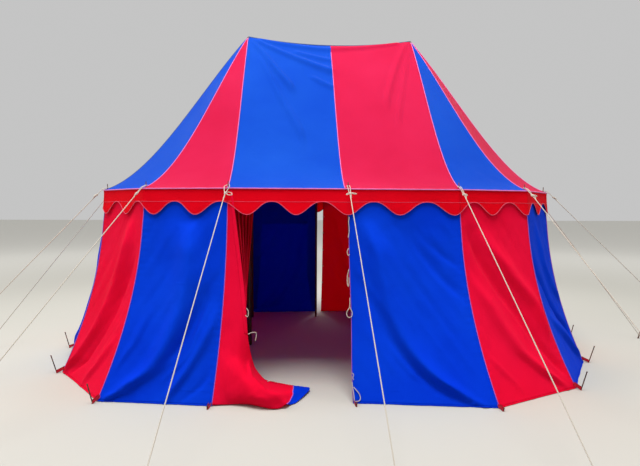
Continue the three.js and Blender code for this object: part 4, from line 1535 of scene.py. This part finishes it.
def makeGuy(corner):
    route = guyRoute(corner)
    out, side, along, up, knot = (route[key] for key in ("out", "side", "along", "up", "knot"))
    whole = emptyMesh()
    addTo(whole, ropeMesh(strandPath(route, corner), guy["strandRadius"]))
    wound = helix(knot, along, guy["knotRadius"], guy["knotLength"], guy["knotTurns"])
    addTo(whole, ropeMesh(wound, guy["radius"]))
    for bow in bows.get(corner, plainBow):
        addTo(whole, ropeMesh(bowPath(route, *bow), guy["bowRadius"]))
    tail = [knot + side * across + along * down + up * rise for across, down, rise in guy["tail"]]
    addTo(whole, ropeMesh(tail, guy["bowRadius"]))
    straight = [knot - along * 2 * guy["strandEnd"], (knot + route["hold"]) / 2,
                route["hold"] - out * guy["pegRadius"]]
    addTo(whole, ropeMesh(straight, guy["radius"]))
    pegAxis = (out[0] * route["lean"], out[1] * route["lean"], 1.0)
    wound = helix(route["hold"], pegAxis, guy["pegRadius"] + guy["radius"] * 0.9, guy["pegTurnsLength"],
                  guy["pegTurns"])
    addTo(whole, ropeMesh(wound, guy["radius"]))
    addTo(whole, pegMesh(guy, guy["pegHeight"], out, route["pegFoot"]), 1)
    finishPiece(f"guyRope{corner + 1}", whole, ["rope", "iron"])


for corner in range(cornerCount):
    makeGuy(corner)
print("guy ropes made")

# Hem pegs: a webbing loop sewn to the hem at each seam, round an iron rod
hemPeg = {
    "reach": 0.068,
    "margin": 0.018,  # from a free edge to its peg
    "pegRadius": 0.005,
    "pegLean": 15,
    "pegHeadHeight": 0.010,
    "pegHead": (0.9, 0.25, 1.3, 0.8),
    "pegSides": 14,
    "height": 0.185,
    "loopHeight": 0.044,
    "loopFall": 0.026,
    "lowCorners": (0, 1, 15),  # with their peg driven deeper and their loop near the ground
    "lowHeight": 0.034,
    "lowLoopHeight": 0.022,
    "lowLoopFall": 0.006,
    "webWidth": 0.027,
    "webThick": 0.0022,
    "webSpacing": 0.006,
    "webColumns": 4,
    "webLength": 0.2,
    "webEnds": ((0.001, 0.010), (0.030, 0.009)),  # out from the hem and to the side, on the way to the rod
}


def hemFoot(corner, first, last, height):
    position = float(corner)
    if corner == first:
        position += hemPeg["margin"] / planLength(corner % cornerCount, hemPlan)
    if corner == last:
        gap = freeEdges["backRed"][1] if last == halfCount else 0.0
        position -= (hemPeg["margin"] + gap) / planLength((corner - 1) % cornerCount, hemPlan)
    v = (wallTop - height) / (wallTop - tent["hemHeight"])
    bay = min(max(math.floor(position), first), last - 1)
    return wallPoints(np.array([position]), bay, bay + 1, np.array([v]))[0]


def webLoop(foot, out, slide, loopHeight, loopFall):
    reach, thick = hemPeg["reach"], hemPeg["webThick"]
    wrap = hemPeg["pegRadius"] + thick
    turn = [(reach + wrap * math.sin(angle), wrap * math.cos(angle)) for angle in np.linspace(0, math.pi, 9)]
    back = [(d, -s) for d, s in reversed(hemPeg["webEnds"])]
    points = [foot + out * d + slide * s + (0, 0, loopHeight - loopFall * d / reach)
              for d, s in (*hemPeg["webEnds"], *turn, *back)]
    path = evenPath(points, hemPeg["webSpacing"])

    def place(u, v):
        points = path[np.rint(v * (len(path) - 1)).astype(int)]
        points[:, 2] += (u - 0.5) * hemPeg["webWidth"]
        return points

    web = gridMesh(hemPeg["webColumns"], len(path) - 1, place, hemPeg["webWidth"], hemPeg["webLength"])
    bmesh.ops.solidify(web, geom=web.faces, thickness=thick)
    return web


def makeHemPegs(name, first, last):
    whole = emptyMesh()
    for corner in range(first, last + 1):
        out, slide = np.append(outwardOf(corner), 0.0), np.append(slideOf(corner), 0.0)
        low = corner % cornerCount in hemPeg["lowCorners"]
        keys = ("lowHeight", "lowLoopHeight", "lowLoopFall") if low else ("height", "loopHeight", "loopFall")
        height, loopHeight, loopFall = (hemPeg[key] for key in keys)
        foot = hemFoot(corner, first, last, loopHeight)
        foot[2] = 0.0
        addTo(whole, pegMesh(hemPeg, height, out, foot + out * hemPeg["reach"]))
        addTo(whole, webLoop(foot, out, slide, loopHeight, loopFall), 1)
    finishPiece(name, whole, ["iron", "webbing"])


makeHemPegs("hemPegsRight", 0, halfCount)
makeHemPegs("hemPegsLeft", halfCount, cornerCount - 1)
print("hem pegs made")

# White lacing cord on the door's two edges, in short loops sewn to the cloth, and the loops on the back door
lacing = {
    "radius": 0.0036,
    "sides": 7,
    "lobe": 0.12,
    "lay": 0.030,
    "spacing": 0.006,
    "backSpacing": 0.004,
    "backReach": 0.016,
    "backLoop": ((0.0, -0.006, 0.008), (0.6, -0.010, 0.010), (1.0, -0.010, 0.0), (0.6, -0.010, -0.010),
                 (0.0, -0.006, -0.008)),  # share of the reach, inwards and up
    "redHeights": (1.50, 1.26, 1.00, 0.75, 0.49, 0.20),
    "blueHeights": (1.00, 0.20),
}
# The lines of the loops on the front right wall's edge, then on the door flap
doorCords = [
    [(0.036, -1.506, 1.551), (0.030, -1.509, 1.507), (0.035, -1.513, 1.438), (0.026, -1.518, 1.368)],
    [(0.034, -1.526, 1.278), (0.019, -1.528, 1.260), (0.017, -1.531, 1.235), (0.027, -1.533, 1.213),
     (0.036, -1.532, 1.226)],
    [(0.030, -1.548, 1.094), (0.022, -1.553, 1.060), (0.015, -1.559, 1.017), (0.015, -1.566, 0.975),
     (0.022, -1.571, 0.946), (0.030, -1.566, 0.975), (0.030, -1.558, 1.026)],
    [(0.034, -1.587, 0.850), (0.034, -1.595, 0.809), (0.031, -1.603, 0.771), (0.014, -1.608, 0.744),
     (0.004, -1.613, 0.719), (0.011, -1.619, 0.695), (0.028, -1.621, 0.685), (0.048, -1.619, 0.695),
     (0.054, -1.613, 0.719), (0.046, -1.608, 0.745), (0.034, -1.603, 0.770)],
    [(0.035, -1.738, 0.241), (0.051, -1.743, 0.226), (0.042, -1.750, 0.204), (0.049, -1.755, 0.185)],
    [(0.035, -1.761, 0.167), (0.040, -1.776, 0.119), (0.047, -1.793, 0.068), (0.050, -1.807, 0.026),
     (0.069, -1.809, 0.021), (0.091, -1.807, 0.026), (0.101, -1.800, 0.046), (0.091, -1.790, 0.079),
     (0.067, -1.780, 0.108), (0.047, -1.773, 0.129)],
]
flapCords = [
    [(-0.853, -1.612, 0.775), (-0.838, -1.618, 0.742), (-0.844, -1.622, 0.702), (-0.862, -1.622, 0.716)],
    [(-0.850, -1.605, 0.545), (-0.815, -1.568, 0.552), (-0.780, -1.560, 0.550), (-0.776, -1.560, 0.520),
     (-0.784, -1.565, 0.478)],
    [(-0.682, -1.506, 0.098), (-0.648, -1.486, 0.096), (-0.607, -1.476, 0.078)],
]


def lacingMesh(points, spacing):
    path = evenPath(points, spacing)
    return tubeMesh(path, lacing["radius"], lacing["sides"], lacing["lobe"], lacing["lay"])


def makeLacing():
    front = emptyMesh()
    for points in doorCords + flapCords:
        addTo(front, lacingMesh(points, lacing["spacing"]))
    finishPiece("doorLacing", front, ["rope"], trim=True)
    back = emptyMesh()
    redEdge = wallSurface(7, 8, sewn, freeEdges["backRed"])
    blueEdge = wallSurface(8, 9, freeEdges["backBlue"], sewn)
    reach = lacing["backReach"]
    for edge, end, way, heights in ((redEdge, 1.0, reach, lacing["redHeights"]),
                                    (blueEdge, 0.0, -reach, lacing["blueHeights"])):
        for height in heights:
            v = (wallTop - height) / (wallTop - tent["hemHeight"])
            root = edge(np.array([end]), np.array([v]))[0]
            points = [root + (way * share, inward, up) for share, inward, up in lacing["backLoop"]]
            addTo(back, lacingMesh(points, lacing["backSpacing"]))
    finishPiece("backDoorLoops", back, ["rope"], trim=True)


makeLacing()
print("lacing made")

# Floor and studio light
studio = {
    "floorSide": 120.0,
    "floorColour": "#a9a79f",
    "farPaintedLightColour": "#e6e4dc",  # painted light: the floor drawn paler beyond the lamps' reach, as if they lit it evenly
    "farFrom": 6.5,
    "farTo": 15.0,
    "skyColour": "#f3f3f3",
    "skyStrength": 0.62,
    "aim": (0, 0, 1),
    "lamps": [  # where each soft box stands, its side and its power
        ((-0.6, -4.2, 10.4), 4.5, 1420.0),
        ((-8.5, -1.0, 7.5), 5.0, 450.0),
        ((8.5, -1.0, 7.5), 5.0, 240.0),
        ((0.5, 7.0, 8.5), 6.0, 480.0),
    ],
}


def makeFloor():
    mesh = bmesh.new()
    bmesh.ops.create_grid(mesh, x_segments=1, y_segments=1, size=studio["floorSide"] / 2)
    data = bpy.data.meshes.new("studioFloor")
    mesh.to_mesh(data)
    mesh.free()
    material, tree = newFinish("matPaleFloor")
    place = addNode(tree, "TexCoord").outputs["Object"]
    away = addNode(tree, "VectorMath", {0: place}, operation="LENGTH").outputs["Value"]
    # painted light: the floor's colour turns paler with distance from the middle, where the lamps light it less
    far = addNode(tree, "MapRange", {
        "Value": away, "From Min": studio["farFrom"], "From Max": studio["farTo"],
    }, interpolation_type="SMOOTHSTEP")
    colours = addNode(tree, "Mix", {
        0: far, 6: toLinear(studio["floorColour"]), 7: toLinear(studio["farPaintedLightColour"]),
    }, data_type="RGBA")
    matt = addNode(tree, "BsdfPrincipled", {
        "Base Color": colours.outputs[2], "Roughness": 0.9, "Specular IOR Level": 0.1,
    })
    addNode(tree, "OutputMaterial", {"Surface": matt})
    data.materials.append(material)
    addObject("studioFloor", data)


def makeLight():
    world = bpy.data.worlds.new("paleStudio")
    world.use_nodes = True
    world.node_tree.nodes.clear()
    sky = addNode(world.node_tree, "Background", {
        "Color": toLinear(studio["skyColour"]), "Strength": studio["skyStrength"],
    })
    addNode(world.node_tree, "OutputWorld", {"Surface": sky})
    bpy.context.scene.world = world
    for place, side, power in studio["lamps"]:
        lamp = bpy.data.lights.new("softBox", "AREA")
        lamp.energy = power
        lamp.size = side
        aim = Vector(studio["aim"]) - Vector(place)
        turn = aim.to_track_quat("-Z", "Y").to_matrix().to_4x4()
        addObject("softBox", lamp).matrix_world = Matrix.Translation(place) @ turn
    bpy.context.scene.view_settings.view_transform = "Standard"


makeFloor()
makeLight()
print("studio made")
